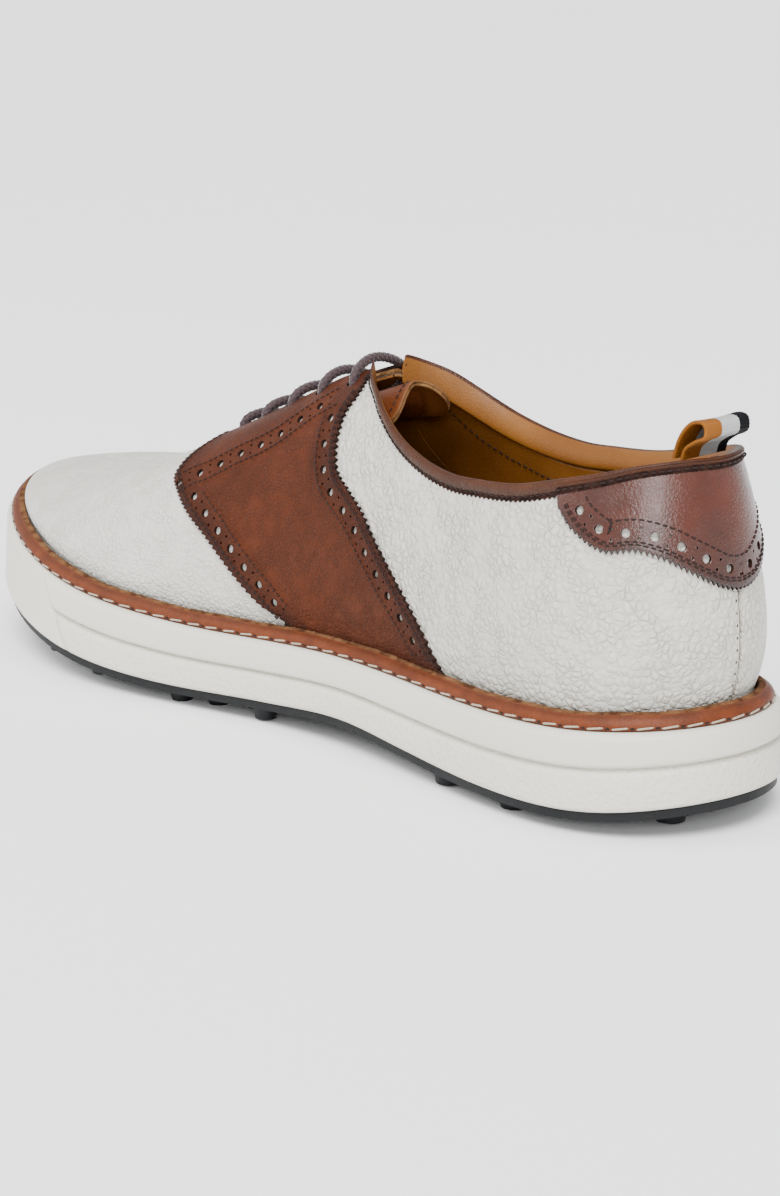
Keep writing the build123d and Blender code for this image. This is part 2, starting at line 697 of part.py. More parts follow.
for end, direction in ((laceLine @ 0, -(laceLine % 0)), (laceLine @ 1, laceLine % 1)):
    aglets.append(extrude(Plane(end, z_dir=direction) * Circle(laceRadius + 0.1), agletLength))
parts["aglets"] = Compound(aglets)
parts["pull_tab"] = makeTab()
parts["pull_tab_anchor"] = makeTabAnchor()

for name, shape in parts.items():
    export_step(shape, "parts/" + name + ".step")
print("nodes", len(parts))
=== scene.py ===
import math
import bmesh
import bpy
import numpy as np
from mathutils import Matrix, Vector


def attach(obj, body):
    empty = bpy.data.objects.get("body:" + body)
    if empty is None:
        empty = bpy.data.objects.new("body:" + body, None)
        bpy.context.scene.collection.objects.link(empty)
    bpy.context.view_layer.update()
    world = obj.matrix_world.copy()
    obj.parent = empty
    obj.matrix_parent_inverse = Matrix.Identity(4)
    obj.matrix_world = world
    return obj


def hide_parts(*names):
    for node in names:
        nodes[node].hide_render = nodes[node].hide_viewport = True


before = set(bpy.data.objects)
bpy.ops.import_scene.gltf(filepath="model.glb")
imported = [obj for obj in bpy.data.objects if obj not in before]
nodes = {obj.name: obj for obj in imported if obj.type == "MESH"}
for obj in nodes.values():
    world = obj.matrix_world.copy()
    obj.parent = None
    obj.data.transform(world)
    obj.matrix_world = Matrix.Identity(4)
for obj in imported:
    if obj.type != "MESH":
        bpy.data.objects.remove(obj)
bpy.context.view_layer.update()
print("frame loaded with", len(nodes), "nodes")

# The whole shoe, in millimetres: x to the toe, y to the inner side, z up.
shoe = {
    "heelEnd": -152.0,
    "toeEnd": 152.0,
    "spineHeel": -112.0,       # ends of the ridge line that both sides of the upper close onto
    "spineToe": 112.0,
    "featherInset": 8.0,       # the upper meets the welt this far inside the footprint
    "weltRise": 3.5,
    "leather": 1.3,
    "lining": 0.8,
    "layerGap": 0.3,
    "counterRoom": 2.0,
    "skinOuter": -1.3,         # depth of the outer face of the saddle and the heel patch
    "skinInner": -0.2,
    "hem": -0.10,              # climb at which the upper dips below the welt
}

outlinePoints = np.array([
    (-152, 2), (-144, 24), (-124, 38.5), (-92, 42), (-60, 39), (-28, 37), (5, 40), (35, 47.2),
    (65, 53.2), (92, 51.5), (120, 41.5), (142, 24.5), (152, 1), (143, -22), (122, -38),
    (95, -48), (60, -53.5), (25, -50), (-15, -44), (-60, -40), (-100, -37), (-128, -31),
    (-146, -17.5)], float)
wallFoot = [(-152, 10.5), (-130, 7.3), (-95, 6.3), (-60, 7.5), (-32, 9.0), (0, 7.3), (35, 6.5),
            (70, 9), (100, 13.2), (128, 18.2), (152, 24.5)]
wallTop = [(-152, 30), (-120, 27.6), (-90, 26.5), (-30, 26.3), (30, 25.2), (62, 28), (91, 32.2),
           (125, 38.6), (152, 44.5)]
ridgeTop = [(-125, 130), (-85, 129), (-55, 121), (-28, 108), (0, 97.3), (15, 89.7), (40, 77.1),
            (60, 67.9), (80, 60.5), (100, 56.8), (120, 52.6), (150, 47)]

# Lines on the upper, as (turn round the footprint, climb from the sole edge in radians).
hem = shoe["hem"]
topline = [(0.0, 0.677), (0.025, 0.677), (0.046, 0.661), (0.065, 0.630), (0.085, 0.602),
           (0.106, 0.579), (0.130, 0.583), (0.149, 0.602), (0.171, 0.681), (0.186, 0.783),
           (0.199, 0.929), (0.209, 1.094), (0.217, 1.24), (0.2215, 1.40)]
saddleFront = [(0.238, hem), (0.242, 0.02), (0.254, 0.083), (0.265, 0.177), (0.276, 0.287),
               (0.288, 0.413), (0.299, 0.524), (0.312, 0.689), (0.321, 0.82), (0.3245, 0.95),
               (0.326, 1.2), (0.325, 1.535)]
saddleRear = [(0.144, hem), (0.147, 0.0), (0.151, 0.039), (0.159, 0.122), (0.169, 0.205),
              (0.180, 0.295), (0.191, 0.398), (0.201, 0.508), (0.210, 0.591), (0.219, 0.685),
              (0.2225, 0.787), (0.224, 0.898), (0.2235, 1.02), (0.2205, 1.126)]
facingLine = [(0.2205, 1.385), (0.27, 1.46), (0.325, 1.535)]
facingBand = [(0.3135, 0.735), (0.307, 0.783), (0.300, 0.803), (0.291, 0.846), (0.284, 0.882),
              (0.272, 0.917), (0.263, 0.957), (0.254, 1.024), (0.244, 1.091), (0.234, 1.142)]
underSaddle = [(0.190, hem), (0.215, 0.4), (0.240, 0.8), (0.238, 1.1), (0.2265, 1.405)]
throatFoot = (0.322, math.pi / 2)
patchEdge = [(0.0, 0.311), (0.012, 0.327), (0.019, 0.350), (0.029, 0.385), (0.038, 0.415),
             (0.047, 0.433), (0.063, 0.433), (0.073, 0.468), (0.080, 0.508), (0.084, 0.547)]


def smooth(x):
    # 3x^2 - 2x^3 between 0 and 1
    x = np.clip(x, 0, 1)
    return x * x * (3 - 2 * x)


def fitOutline(points):
    # second derivatives of the periodic cubic spline through the points, by chord length
    count = len(points)
    step = np.linalg.norm(np.roll(points, -1, 0) - points, axis=1)
    before = np.roll(np.arange(count), 1)
    after = np.roll(np.arange(count), -1)
    matrix = np.zeros((count, count))
    matrix[np.arange(count), before] = step[before]
    matrix[np.arange(count), np.arange(count)] = 2 * (step[before] + step)
    matrix[np.arange(count), after] = step
    run = (points[after] - points) / step[:, None]
    bend = np.linalg.solve(matrix, 6 * (run - run[before]))
    return {"points": points, "step": step, "knots": np.r_[0, np.cumsum(step)], "bend": bend}


outline = fitOutline(outlinePoints)


def footprint(turn):
    # place and outward direction on the footprint, from 0 at the heel's back to 1, inner side first
    count = len(outline["points"])
    distance = (np.asarray(turn, float) % 1) * outline["knots"][-1]
    i = np.clip(np.searchsorted(outline["knots"], distance, side="right") - 1, 0, count - 1)
    j = (i + 1) % count
    h = outline["step"][i][..., None]
    b = (distance - outline["knots"][i])[..., None] / h
    a = 1 - b
    p, m = outline["points"], outline["bend"]
    place = a * p[i] + b * p[j] + ((a ** 3 - a) * m[i] + (b ** 3 - b) * m[j]) * h * h / 6
    along = (p[j] - p[i]) / h + (-(3 * a * a - 1) * m[i] + (3 * b * b - 1) * m[j]) * h / 6
    along = along / np.linalg.norm(along, axis=-1, keepdims=True)
    return place, np.stack([-along[..., 1], along[..., 0]], -1)


def hermiteRead(t, values, slope, at):
    # cubic Hermite between neighbouring values
    i = np.clip(np.searchsorted(t, at) - 1, 0, len(t) - 2)
    h = t[i + 1] - t[i]
    w = (at - t[i]) / h
    if values.ndim > 1:
        h, w = h[..., None], w[..., None]
    return ((1 + 2 * w) * (1 - w) ** 2 * values[i] + w * (1 - w) ** 2 * h * slope[i]
            + w * w * (3 - 2 * w) * values[i + 1] + w * w * (w - 1) * h * slope[i + 1])


def heightCurve(points):
    # smooth height over x, flat beyond both ends
    xs, zs = np.array(points, float).T
    slope = np.gradient(zs, xs)
    return lambda x: hermiteRead(xs, zs, slope, np.clip(x, xs[0], xs[-1]))


def curveThrough(points, scale=(700.0, 55.0)):
    # smooth curve through points, read at 0 to 1 by chord length
    values = np.array(points, float)
    chord = np.linalg.norm(np.diff(values * np.array(scale), axis=0), axis=1)
    t = np.r_[0, np.cumsum(chord)] / chord.sum()
    slope = np.gradient(values, t, axis=0)
    return lambda u: hermiteRead(t, values, slope, np.clip(np.asarray(u, float), 0, 1))


def straight(a, b):
    return curveThrough([a, ((a[0] + b[0]) / 2, (a[1] + b[1]) / 2), b])


footZ = heightCurve(wallFoot)
topZ = heightCurve(wallTop)
ridgeZ = heightCurve(ridgeTop)


def last(turn, climb, depth):
    # a point on the upper: the foot of the leather swept to the ridge by 1 - cos(climb) and
    # raised by sin(climb), with a bulge climb * exp(-climb) above the welt; depth goes inwards
    turn, climb, depth = np.broadcast_arrays(turn, climb, depth)
    place, outward = footprint(turn)
    foot = place - outward * (shoe["featherInset"] + depth)[..., None]
    footHeight = topZ(place[..., 0]) + shoe["weltRise"]
    medial, medialOut = footprint(np.minimum(turn % 1, (-turn) % 1))
    length = shoe["toeEnd"] - shoe["heelEnd"] - 2 * shoe["featherInset"]
    share = (medial - medialOut * shoe["featherInset"])[..., 0] / length + 0.5
    spineX = shoe["spineHeel"] + (shoe["spineToe"] - shoe["spineHeel"]) * share
    spine = np.stack([spineX, 1.5 - 2.0 * np.clip(spineX / 110, 0, 1)], -1)
    rise = np.clip(climb, 0, None)
    flat = foot + (spine - foot) * (1 - np.cos(rise))[..., None]
    heelShare = smooth((-foot[..., 0] - 40) / 80)
    bulge = (1.5 + 1.6 * heelShare) * (rise / 0.22) * np.exp(1 - rise / 0.22) * np.cos(rise)
    flat = flat + outward * bulge[..., None]
    height = footHeight + (ridgeZ(spineX) - depth - footHeight) * np.sin(rise)
    height = height + np.minimum(climb, 0) * 30.0
    return np.concatenate([flat, height[..., None]], -1)


def coons(bottom, top, left, right):
    # fills four curves: bottom and top run with u, left and right with v
    def fill(u, v):
        u1, v1 = u[..., None], v[..., None]
        corners = ((1 - u1) * (1 - v1) * bottom(0 * u) + u1 * (1 - v1) * bottom(0 * u + 1)
                   + (1 - u1) * v1 * top(0 * u) + u1 * v1 * top(0 * u + 1))
        return (1 - v1) * bottom(u) + v1 * top(u) + (1 - u1) * left(v) + u1 * right(v) - corners
    return fill


def unit(vectors):
    return vectors / np.maximum(np.linalg.norm(vectors, axis=-1, keepdims=True), 1e-12)


def lastFrame(turn, climb, depth):
    # slopes of the upper with turn and climb by small differences, and its outward normal
    e = 1e-4
    dTurn = (last(turn + e, climb, depth) - last(turn - e, climb, depth)) / (2 * e)
    dClimb = (last(turn, climb + e, depth) - last(turn, climb - e, depth)) / (2 * e)
    normal = unit(np.cross(dTurn, dClimb))
    out = last(turn, climb, depth - 1.0) - last(turn, climb, depth)
    normal = normal * np.sign(np.sum(normal * out, -1, keepdims=True) + 1e-9)
    return dTurn, dClimb, normal


def offsetLine(line, distance, steps=5):
    # moves a (turn, climb) line sideways over the surface by a distance in millimetres
    start = line = np.array(line, float)
    for _ in range(steps):
        dTurn, dClimb, normal = lastFrame(line[:, 0], line[:, 1], 0.0)
        along = unit(np.gradient(last(line[:, 0], line[:, 1], 0.0), axis=0))
        move = np.cross(normal, along) * distance / steps
        a, b, c = (dTurn * dTurn).sum(-1), (dTurn * dClimb).sum(-1), (dClimb * dClimb).sum(-1)
        p, q = (move * dTurn).sum(-1), (move * dClimb).sum(-1)
        det = a * c - b * b
        line = line + np.stack([(p * c - q * b) / det, (a * q - b * p) / det], -1)
    # a stretch that would run backwards, inside a tight bend, is left out
    before = np.gradient(last(start[:, 0], start[:, 1], 0.0), axis=0)
    after = np.gradient(last(line[:, 0], line[:, 1], 0.0), axis=0)
    return line[(before * after).sum(-1) > 0]


def spacedOn(line, pitch, side=1, depth=0.0, first=0.5):
    # places at an even pitch along a (turn, climb) line, with direction and outward normal
    line = np.array(line, float)
    points = last(side * line[:, 0], line[:, 1], depth)
    run = np.r_[0, np.cumsum(np.linalg.norm(np.diff(points, axis=0), axis=1))]
    count = max(int(run[-1] / pitch), 1)
    at = (np.arange(count) + first) * run[-1] / count
    turn, climb = np.interp(at, run, line[:, 0]), np.interp(at, run, line[:, 1])
    along = unit(np.stack([np.interp(at, run, g) for g in np.gradient(points, axis=0).T], -1))
    place = last(side * turn, climb, depth)
    normal = lastFrame(side * turn, climb, depth)[2]
    return {"line": np.stack([turn, climb], -1), "place": place, "along": along,
            "normal": normal, "across": np.cross(normal, along)}


# Meshes from grids.
def gridQuads(rows, columns, wrapRows=False, wrapColumns=False):
    # faces between neighbouring points of a grid that is numbered row by row
    i = np.arange(rows if wrapRows else rows - 1)
    j = np.arange(columns if wrapColumns else columns - 1)
    i, j = np.meshgrid(i, j, indexing="ij")
    k, m = (i + 1) % rows, (j + 1) % columns
    return np.stack([i * columns + j, k * columns + j, k * columns + m, i * columns + m],
                    -1).reshape(-1, 4)


def gridUv(rows, columns, sizes, wrapRows=False, wrapColumns=False):
    # corner coordinates that run on past a closed seam: u along the rows, v along the columns
    i = np.arange(rows if wrapRows else rows - 1)
    j = np.arange(columns if wrapColumns else columns - 1)
    i, j = np.meshgrid(i, j, indexing="ij")
    u = np.stack([i, i + 1, i + 1, i], -1) / (rows if wrapRows else rows - 1) * sizes[0]
    v = np.stack([j, j, j + 1, j + 1], -1) / (columns if wrapColumns else columns - 1) * sizes[1]
    return np.stack([u, v], -1).reshape(-1, 4, 2)


def volumeOf(points, faces):
    # sum of the corner triple products, a sixth of which is the volume
    first = points[faces[:, 0]]
    total = 0.0
    for k in range(1, faces.shape[1] - 1):
        total += np.einsum("ij,ij->i", first,
                           np.cross(points[faces[:, k]], points[faces[:, k + 1]])).sum()
    return total / 6


def addPiece(name, points, faces, materials, slot, body="shoe", uv=None, fields=None,
             faceMaterial=None):
    # puts whole arrays in a mesh, in metres, turned so that its faces point outwards
    points = np.asarray(points, float).reshape(-1, 3)
    if volumeOf(points, faces) < 0:
        faces = faces[:, ::-1]
        uv = None if uv is None else uv[:, ::-1]
    mesh = bpy.data.meshes.new(name)
    mesh.vertices.add(len(points))
    mesh.vertices.foreach_set("co", (points * 0.001).astype(np.float32).ravel())
    mesh.loops.add(faces.size)
    mesh.loops.foreach_set("vertex_index", faces.astype(np.int32).ravel())
    mesh.polygons.add(len(faces))
    starts = np.arange(0, faces.size, faces.shape[1], dtype=np.int32)
    mesh.polygons.foreach_set("loop_start", starts)
    if faceMaterial is not None:
        mesh.polygons.foreach_set("material_index", faceMaterial.astype(np.int32))
    mesh.update(calc_edges=True)
    if uv is not None:
        layer = mesh.uv_layers.new(name="surface")
        layer.data.foreach_set("uv", uv.astype(np.float32).ravel())
    for label, values in (fields or {}).items():
        attribute = mesh.attributes.new(label, "FLOAT", "POINT")
        attribute.data.foreach_set("value", np.asarray(values, np.float32).ravel())
    mesh.shade_smooth()
    for material in materials:
        mesh.materials.append(material)
    piece = bpy.data.objects.new(name, mesh)
    bpy.context.scene.collection.objects.link(piece)
    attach(piece, body)
    return piece


def slabArrays(outer, inner):
    # two grids of the same size joined round their rims: points, faces, and which are rim faces
    rows, columns = outer.shape[:2]
    count = rows * columns
    quads = gridQuads(rows, columns)
    index = np.arange(count).reshape(rows, columns)
    rim = np.r_[index[:, 0], index[-1, 1:], index[-2::-1, -1], index[0, -2:0:-1]]
    after = np.roll(rim, -1)
    walls = np.stack([after, rim, rim + count, after + count], -1)
    points = np.concatenate([outer.reshape(-1, 3), inner.reshape(-1, 3)])
    faces = np.concatenate([quads, quads[:, ::-1] + count, walls])
    isRim = np.r_[np.zeros(2 * len(quads), int), np.ones(len(walls), int)]
    return points, faces, isRim


def addSlab(name, outer, inner, skin, cut, slot, body="shoe", fields=None):
    # sheet of leather between two grids: skin on its faces and the raw cut round its rim
    points, faces, isRim = slabArrays(outer, inner)
    doubled = {k: np.concatenate([v.ravel(), v.ravel()]) for k, v in (fields or {}).items()}
    return addPiece(name, points, faces, [skin, cut], slot, body, fields=doubled,
                    faceMaterial=isRim)


def edgeSteps(count, first, length):
    # 0 to 1 in even steps, with closer ones beside both ends: first is the smallest, in the
    # same unit as length
    near = np.array([0, 1, 2.2, 4.0]) * first / length
    return np.r_[near, np.linspace(near[-1], 1 - near[-1], count)[1:-1], 1 - near[::-1]]


def rounding(steps, length, radius):
    # how far a sheet's face drops beside its rim: the quarter circle r - sqrt(r^2 - (r - d)^2)
    near = np.clip(radius - np.minimum(steps, 1 - steps) * length, 0, radius)
    return radius - np.sqrt(np.maximum(radius ** 2 - near ** 2, 0))


def rippled(points, size, height):
    # slow uneven swell of hand-lasted leather: three crossed sine waves
    x, y, z = points[..., 0] / size, points[..., 1] / size, points[..., 2] / size
    return height * (np.sin(x * 1.3 + 2.1 * z) + np.sin(1.9 * z - y * 1.1 + 0.7)
                     + np.sin(x * 2.3 - y * 1.7 + 1.9)) / 3


def instances(template, triangles, frames, scale=None):
    # copies of a small shape: its x, y, z laid on each place's along, across and normal
    place, along, across, normal = frames
    axes = np.stack([along, across, normal], 1)
    shape = template[None] * (1.0 if scale is None else scale)
    points = place[:, None] + np.einsum("nkc,ncd->nkd", np.broadcast_to(
        shape, (len(place),) + template.shape), axes)
    faces = triangles[None] + (np.arange(len(place)) * len(template))[:, None, None]
    return points.reshape(-1, 3), faces.reshape(-1, triangles.shape[1])


def joined(parts):
    # several (points, faces) in one, the faces renumbered
    starts = np.cumsum([0] + [len(points) for points, _ in parts[:-1]])
    return (np.concatenate([points for points, _ in parts]),
            np.concatenate([faces + start for (_, faces), start in zip(parts, starts)]))


def capsule(length, radius, sides=5, sink=0.7):
    # one stitch: a thin round bar whose two ends dip into the leather
    s = np.array([-1.0, -0.72, 0.72, 1.0])
    size = np.array([0.55, 1.0, 1.0, 0.55]) * radius
    lift = np.array([-sink, 0.35, 0.35, -sink]) * radius
    angle = np.arange(sides) * 2 * np.pi / sides
    ring = np.stack([np.broadcast_to(s[:, None] * length / 2, (4, sides)),
                     np.sin(angle)[None] * size[:, None],
                     np.cos(angle)[None] * size[:, None] + lift[:, None]], -1)
    points = ring.reshape(-1, 3)
    quads = gridQuads(4, sides, wrapColumns=True)
    caps = np.stack([np.arange(1, sides - 1), np.arange(2, sides)], -1)
    startCap = np.c_[np.zeros(len(caps), int), caps[:, ::-1]]
    endCap = np.c_[np.full(len(caps), 3 * sides), caps + 3 * sides]
    body = np.concatenate([quads[:, [0, 1, 2]], quads[:, [0, 2, 3]], startCap, endCap])
    return points, body


def addStitches(name, rows, values, material, slot, body="shoe"):
    # rows of stitches along lines on the upper; each row is (line, side, depth)
    template, triangles = capsule(values["length"], values["radius"])
    parts = []
    for line, side, depth in rows:
        spots = spacedOn(line, values["pitch"], side, depth)
        parts.append(instances(template, triangles, (spots["place"], spots["along"],
                                                     spots["across"], spots["normal"])))
    return addPiece(name, *joined(parts), [material], slot, body)


def dense(line, count=240):
    # a (turn, climb) line read at many places
    return curveThrough(line)(np.linspace(0, 1, count))


def cutHoles(piece, places, axes, radii, low, high, material, sides=14):
    # closed round pins joined in one mesh and taken away from the piece by a Boolean
    angle = np.arange(sides) * 2 * np.pi / sides
    ring = np.stack([np.cos(angle), np.sin(angle)], -1)
    side = unit(np.cross(axes, np.array([0.31, 0.17, 0.93])))
    other = np.cross(axes, side)
    spread = (side[:, None] * ring[None, :, :1] + other[:, None] * ring[None, :, 1:])
    spread = spread * np.asarray(radii)[:, None, None]
    ends = [places[:, None] + axes[:, None] * level + spread for level in (low, high)]
    points = np.concatenate(ends, 1).reshape(-1, 3)
    base = (np.arange(len(places)) * 2 * sides)[:, None]
    k = np.arange(sides)
    walls = np.stack([k, (k + 1) % sides, (k + 1) % sides + sides, k + sides], -1)
    quads = (walls[None] + base[..., None]).reshape(-1, 4)
    mesh = bpy.data.meshes.new("pins")
    bottom = (k[::-1][None] + base).tolist()
    top = (k[None] + sides + base).tolist()
    mesh.from_pydata((points * 0.001).tolist(), [], quads.tolist() + bottom + top)
    mesh.materials.append(material)
    pins = bpy.data.objects.new("pins", mesh)
    bpy.context.scene.collection.objects.link(pins)
    modifier = piece.modifiers.new("holes", "BOOLEAN")
    modifier.operation = "DIFFERENCE"
    modifier.solver = "MANIFOLD"
    modifier.object = pins
    modifier.material_mode = "TRANSFER"
    bpy.context.view_layer.update()
    made = bpy.data.meshes.new_from_object(
        piece.evaluated_get(bpy.context.evaluated_depsgraph_get()))
    piece.modifiers.clear()
    piece.data = made
    bpy.data.objects.remove(pins)
    print("   holes in", piece.name, len(places), "faces", len(made.polygons))
    return piece


print("shape helpers ready")


# Finishes.
def addNode(tree, kind, inputs=None, **settings):
    node = tree.nodes.new(kind)
    for key, value in settings.items():
        setattr(node, key, value)
    for key, value in (inputs or {}).items():
        if isinstance(value, bpy.types.NodeSocket):
            tree.links.new(value, node.inputs[key])
        else:
            node.inputs[key].default_value = value
    return node


def newGroup(name, inputs, outputs):
    # a node group with named inputs (kind and starting value) and outputs
    group = bpy.data.node_groups.new(name, "ShaderNodeTree")
    for label, (kind, value) in inputs.items():
        socket = group.interface.new_socket(label, in_out="INPUT", socket_type="NodeSocket" + kind)
        if value is not None:
            socket.default_value = value
    for label, kind in outputs.items():
        group.interface.new_socket(label, in_out="OUTPUT", socket_type="NodeSocket" + kind)
    return group, group.nodes.new("NodeGroupInput").outputs, group.nodes.new("NodeGroupOutput")


def mathNode(tree, operation, a, b=0.0, clamp=False):
    node = tree.nodes.new("ShaderNodeMath")
    node.operation = operation
    node.use_clamp = clamp
    for k, value in enumerate((a, b)):
        if isinstance(value, bpy.types.NodeSocket):
            tree.links.new(value, node.inputs[k])
        else:
            node.inputs[k].default_value = value
    return node.outputs[0]


def mapRange(tree, value, low, high, toLow=0.0, toHigh=1.0):
    node = addNode(tree, "ShaderNodeMapRange", {0: value, 1: low, 2: high, 3: toLow, 4: toHigh})
    return node.outputs[0]


def mixColor(tree, factor, a, b, blend="MIX"):
    node = tree.nodes.new("ShaderNodeMix")
    node.data_type = "RGBA"
    node.blend_type = blend
    for key, value in ((0, factor), (6, a), (7, b)):
        if isinstance(value, bpy.types.NodeSocket):
            tree.links.new(value, node.inputs[key])
        else:
            node.inputs[key].default_value = value if key == 0 else (*value, 1)
    return node.outputs[2]


def makeGrainGroup():
    # pebbles are the distance to the edge of warped cells, with finer ones on top, and creases
    # are the valleys of ridged noise; the second output marks grooves and creases for painted shade
    group, given, made = newGroup("leatherGrain", {
        "Vector": ("Vector", None), "Cells": ("Float", 700.0), "Warp": ("Float", 0.5),
        "Creases": ("Float", 0.2), "Crease Scale": ("Float", 60.0)},
        {"Height": "Float", "Valley Shade": "Float"})
    wobble = addNode(group, "ShaderNodeTexNoise", {"Vector": given["Vector"], "Detail": 2.0})
    group.links.new(mathNode(group, "MULTIPLY", given["Cells"], 0.45), wobble.inputs["Scale"])
    centred = addNode(group, "ShaderNodeVectorMath", {0: wobble.outputs["Color"],
                                                      1: (0.5, 0.5, 0.5)}, operation="SUBTRACT")
    reach = mathNode(group, "DIVIDE", given["Warp"], given["Cells"])
    pushed = addNode(group, "ShaderNodeVectorMath", {0: centred.outputs[0]}, operation="SCALE")
    group.links.new(reach, pushed.inputs["Scale"])
    place = addNode(group, "ShaderNodeVectorMath", {0: given["Vector"], 1: pushed.outputs[0]},
                    operation="ADD").outputs[0]
    cells = addNode(group, "ShaderNodeTexVoronoi", {"Vector": place, "Scale": given["Cells"]},
                    feature="DISTANCE_TO_EDGE")
    fine = addNode(group, "ShaderNodeTexVoronoi", {"Vector": place}, feature="DISTANCE_TO_EDGE")
    group.links.new(mathNode(group, "MULTIPLY", given["Cells"], 2.7), fine.inputs["Scale"])
    broken = addNode(group, "ShaderNodeTexNoise", {"Vector": given["Vector"], "Detail": 2.0})
    group.links.new(mathNode(group, "MULTIPLY", given["Cells"], 0.22), broken.inputs["Scale"])
    kept = mapRange(group, broken.outputs[0], 0.20, 0.60)
    domes = addNode(group, "ShaderNodeTexVoronoi", {
        "Vector": place, "Scale": given["Cells"], "Smoothness": 0.7}, feature="SMOOTH_F1")
    groove = mathNode(group, "MULTIPLY", kept, mathNode(
        group, "SUBTRACT", 1.0, mapRange(group, cells.outputs[0], 0.0, 0.20)))
    pebble = mathNode(group, "SUBTRACT", mathNode(
        group, "SUBTRACT", 1.0, domes.outputs["Distance"]), mathNode(group, "MULTIPLY", groove, 0.45))
    small = mapRange(group, fine.outputs[0], 0.0, 0.3)
    ridges = addNode(group, "ShaderNodeTexNoise", {
        "Vector": place, "Scale": given["Crease Scale"], "Detail": 4.0, "Roughness": 0.6},
        noise_type="RIDGED_MULTIFRACTAL")
    crease = mapRange(group, ridges.outputs[0], 1.0, 2.2)
    patchy = addNode(group, "ShaderNodeTexNoise", {"Vector": given["Vector"], "Scale": 45.0})
    depth = mathNode(group, "MULTIPLY", crease, mapRange(group, patchy.outputs[0], 0.4, 0.65))
    depth = mathNode(group, "MULTIPLY", depth, given["Creases"])
    height = mathNode(group, "ADD", pebble, mathNode(group, "MULTIPLY", small, 0.12))
    group.links.new(mathNode(group, "SUBTRACT", height, depth), made.inputs["Height"])
    # painted shade: the grooves and half the crease depth, for darkening the colour
    group.links.new(mathNode(group, "ADD", groove, mathNode(group, "MULTIPLY", depth, 0.5),
                             clamp=True), made.inputs["Valley Shade"])
    return group


def makeMottleGroup():
    # two noises of different size, stretched between two values
    group, given, made = newGroup("mottle", {
        "Vector": ("Vector", None), "Scale": ("Float", 30.0), "Low": ("Float", 0.0),
        "High": ("Float", 1.0)}, {"Value": "Float"})
    large = addNode(group, "ShaderNodeTexNoise", {
        "Vector": given["Vector"], "Scale": given["Scale"], "Detail": 5.0, "Roughness": 0.6})
    value = addNode(group, "ShaderNodeMapRange", {
        0: large.outputs[0], 1: 0.32, 2: 0.68, 3: given["Low"], 4: given["High"]})
    group.links.new(value.outputs[0], made.inputs["Value"])
    return group


def makeRimGroup():
    # blends towards a darker colour where the edge field nears 1, broken up by noise
    group, given, made = newGroup("rimShade", {
        "Color": ("Color", (1, 1, 1, 1)), "Rim": ("Color", (0, 0, 0, 1)),
        "Edge": ("Float", 0.0), "Vector": ("Vector", None), "Amount": ("Float", 1.0)},
        {"Color": "Color"})
    noise = addNode(group, "ShaderNodeTexNoise", {
        "Vector": given["Vector"], "Scale": 260.0, "Detail": 3.0})
    rough = mathNode(group, "MULTIPLY", given["Edge"],
                     mapRange(group, noise.outputs[0], 0.3, 0.7, 0.55, 1.15))
    factor = mathNode(group, "MULTIPLY", rough, given["Amount"], clamp=True)
    group.links.new(mixColor(group, factor, given["Color"], given["Rim"]), made.inputs["Color"])
    return group


def makeFuzzGroup():
    # short fibres: fine noise stretched along the cut edge
    group, given, made = newGroup("fibres", {
        "Vector": ("Vector", None), "Scale": ("Float", 900.0)},
        {"Height": "Float", "Mask": "Float"})
    noise = addNode(group, "ShaderNodeTexNoise", {
        "Vector": given["Vector"], "Scale": given["Scale"], "Detail": 4.0, "Roughness": 0.75})
    coarse = addNode(group, "ShaderNodeTexNoise", {
        "Vector": given["Vector"], "Scale": 320.0, "Detail": 2.0})
    group.links.new(noise.outputs[0], made.inputs["Height"])
    group.links.new(mapRange(group, coarse.outputs[0], 0.35, 0.65), made.inputs["Mask"])
    return group


grainGroup = makeGrainGroup()
mottleGroup = makeMottleGroup()
rimGroup = makeRimGroup()
fuzzGroup = makeFuzzGroup()


def startMaterial(name, principled):
    # an empty material with one Principled shader, whose constant values sit on its sockets
    material = bpy.data.materials.new(name)
    material.use_nodes = True
    tree = material.node_tree
    tree.nodes.clear()
    shader = addNode(tree, "ShaderNodeBsdfPrincipled", principled)
    output = tree.nodes.new("ShaderNodeOutputMaterial")
    tree.links.new(shader.outputs[0], output.inputs["Surface"])
    place = tree.nodes.new("ShaderNodeTexCoord").outputs["Object"]
    return material, tree, shader, place


def placed(tree, group, inputs):
    node = tree.nodes.new("ShaderNodeGroup")
    node.node_tree = group
    for key, value in inputs.items():
        if isinstance(value, bpy.types.NodeSocket):
            tree.links.new(value, node.inputs[key])
        else:
            node.inputs[key].default_value = value
    return node


def bump(tree, shader, height, distance, strength=1.0):
    node = addNode(tree, "ShaderNodeBump", {
        "Height": height, "Distance": distance * 0.001, "Strength": strength})
    tree.links.new(node.outputs[0], shader.inputs["Normal"])


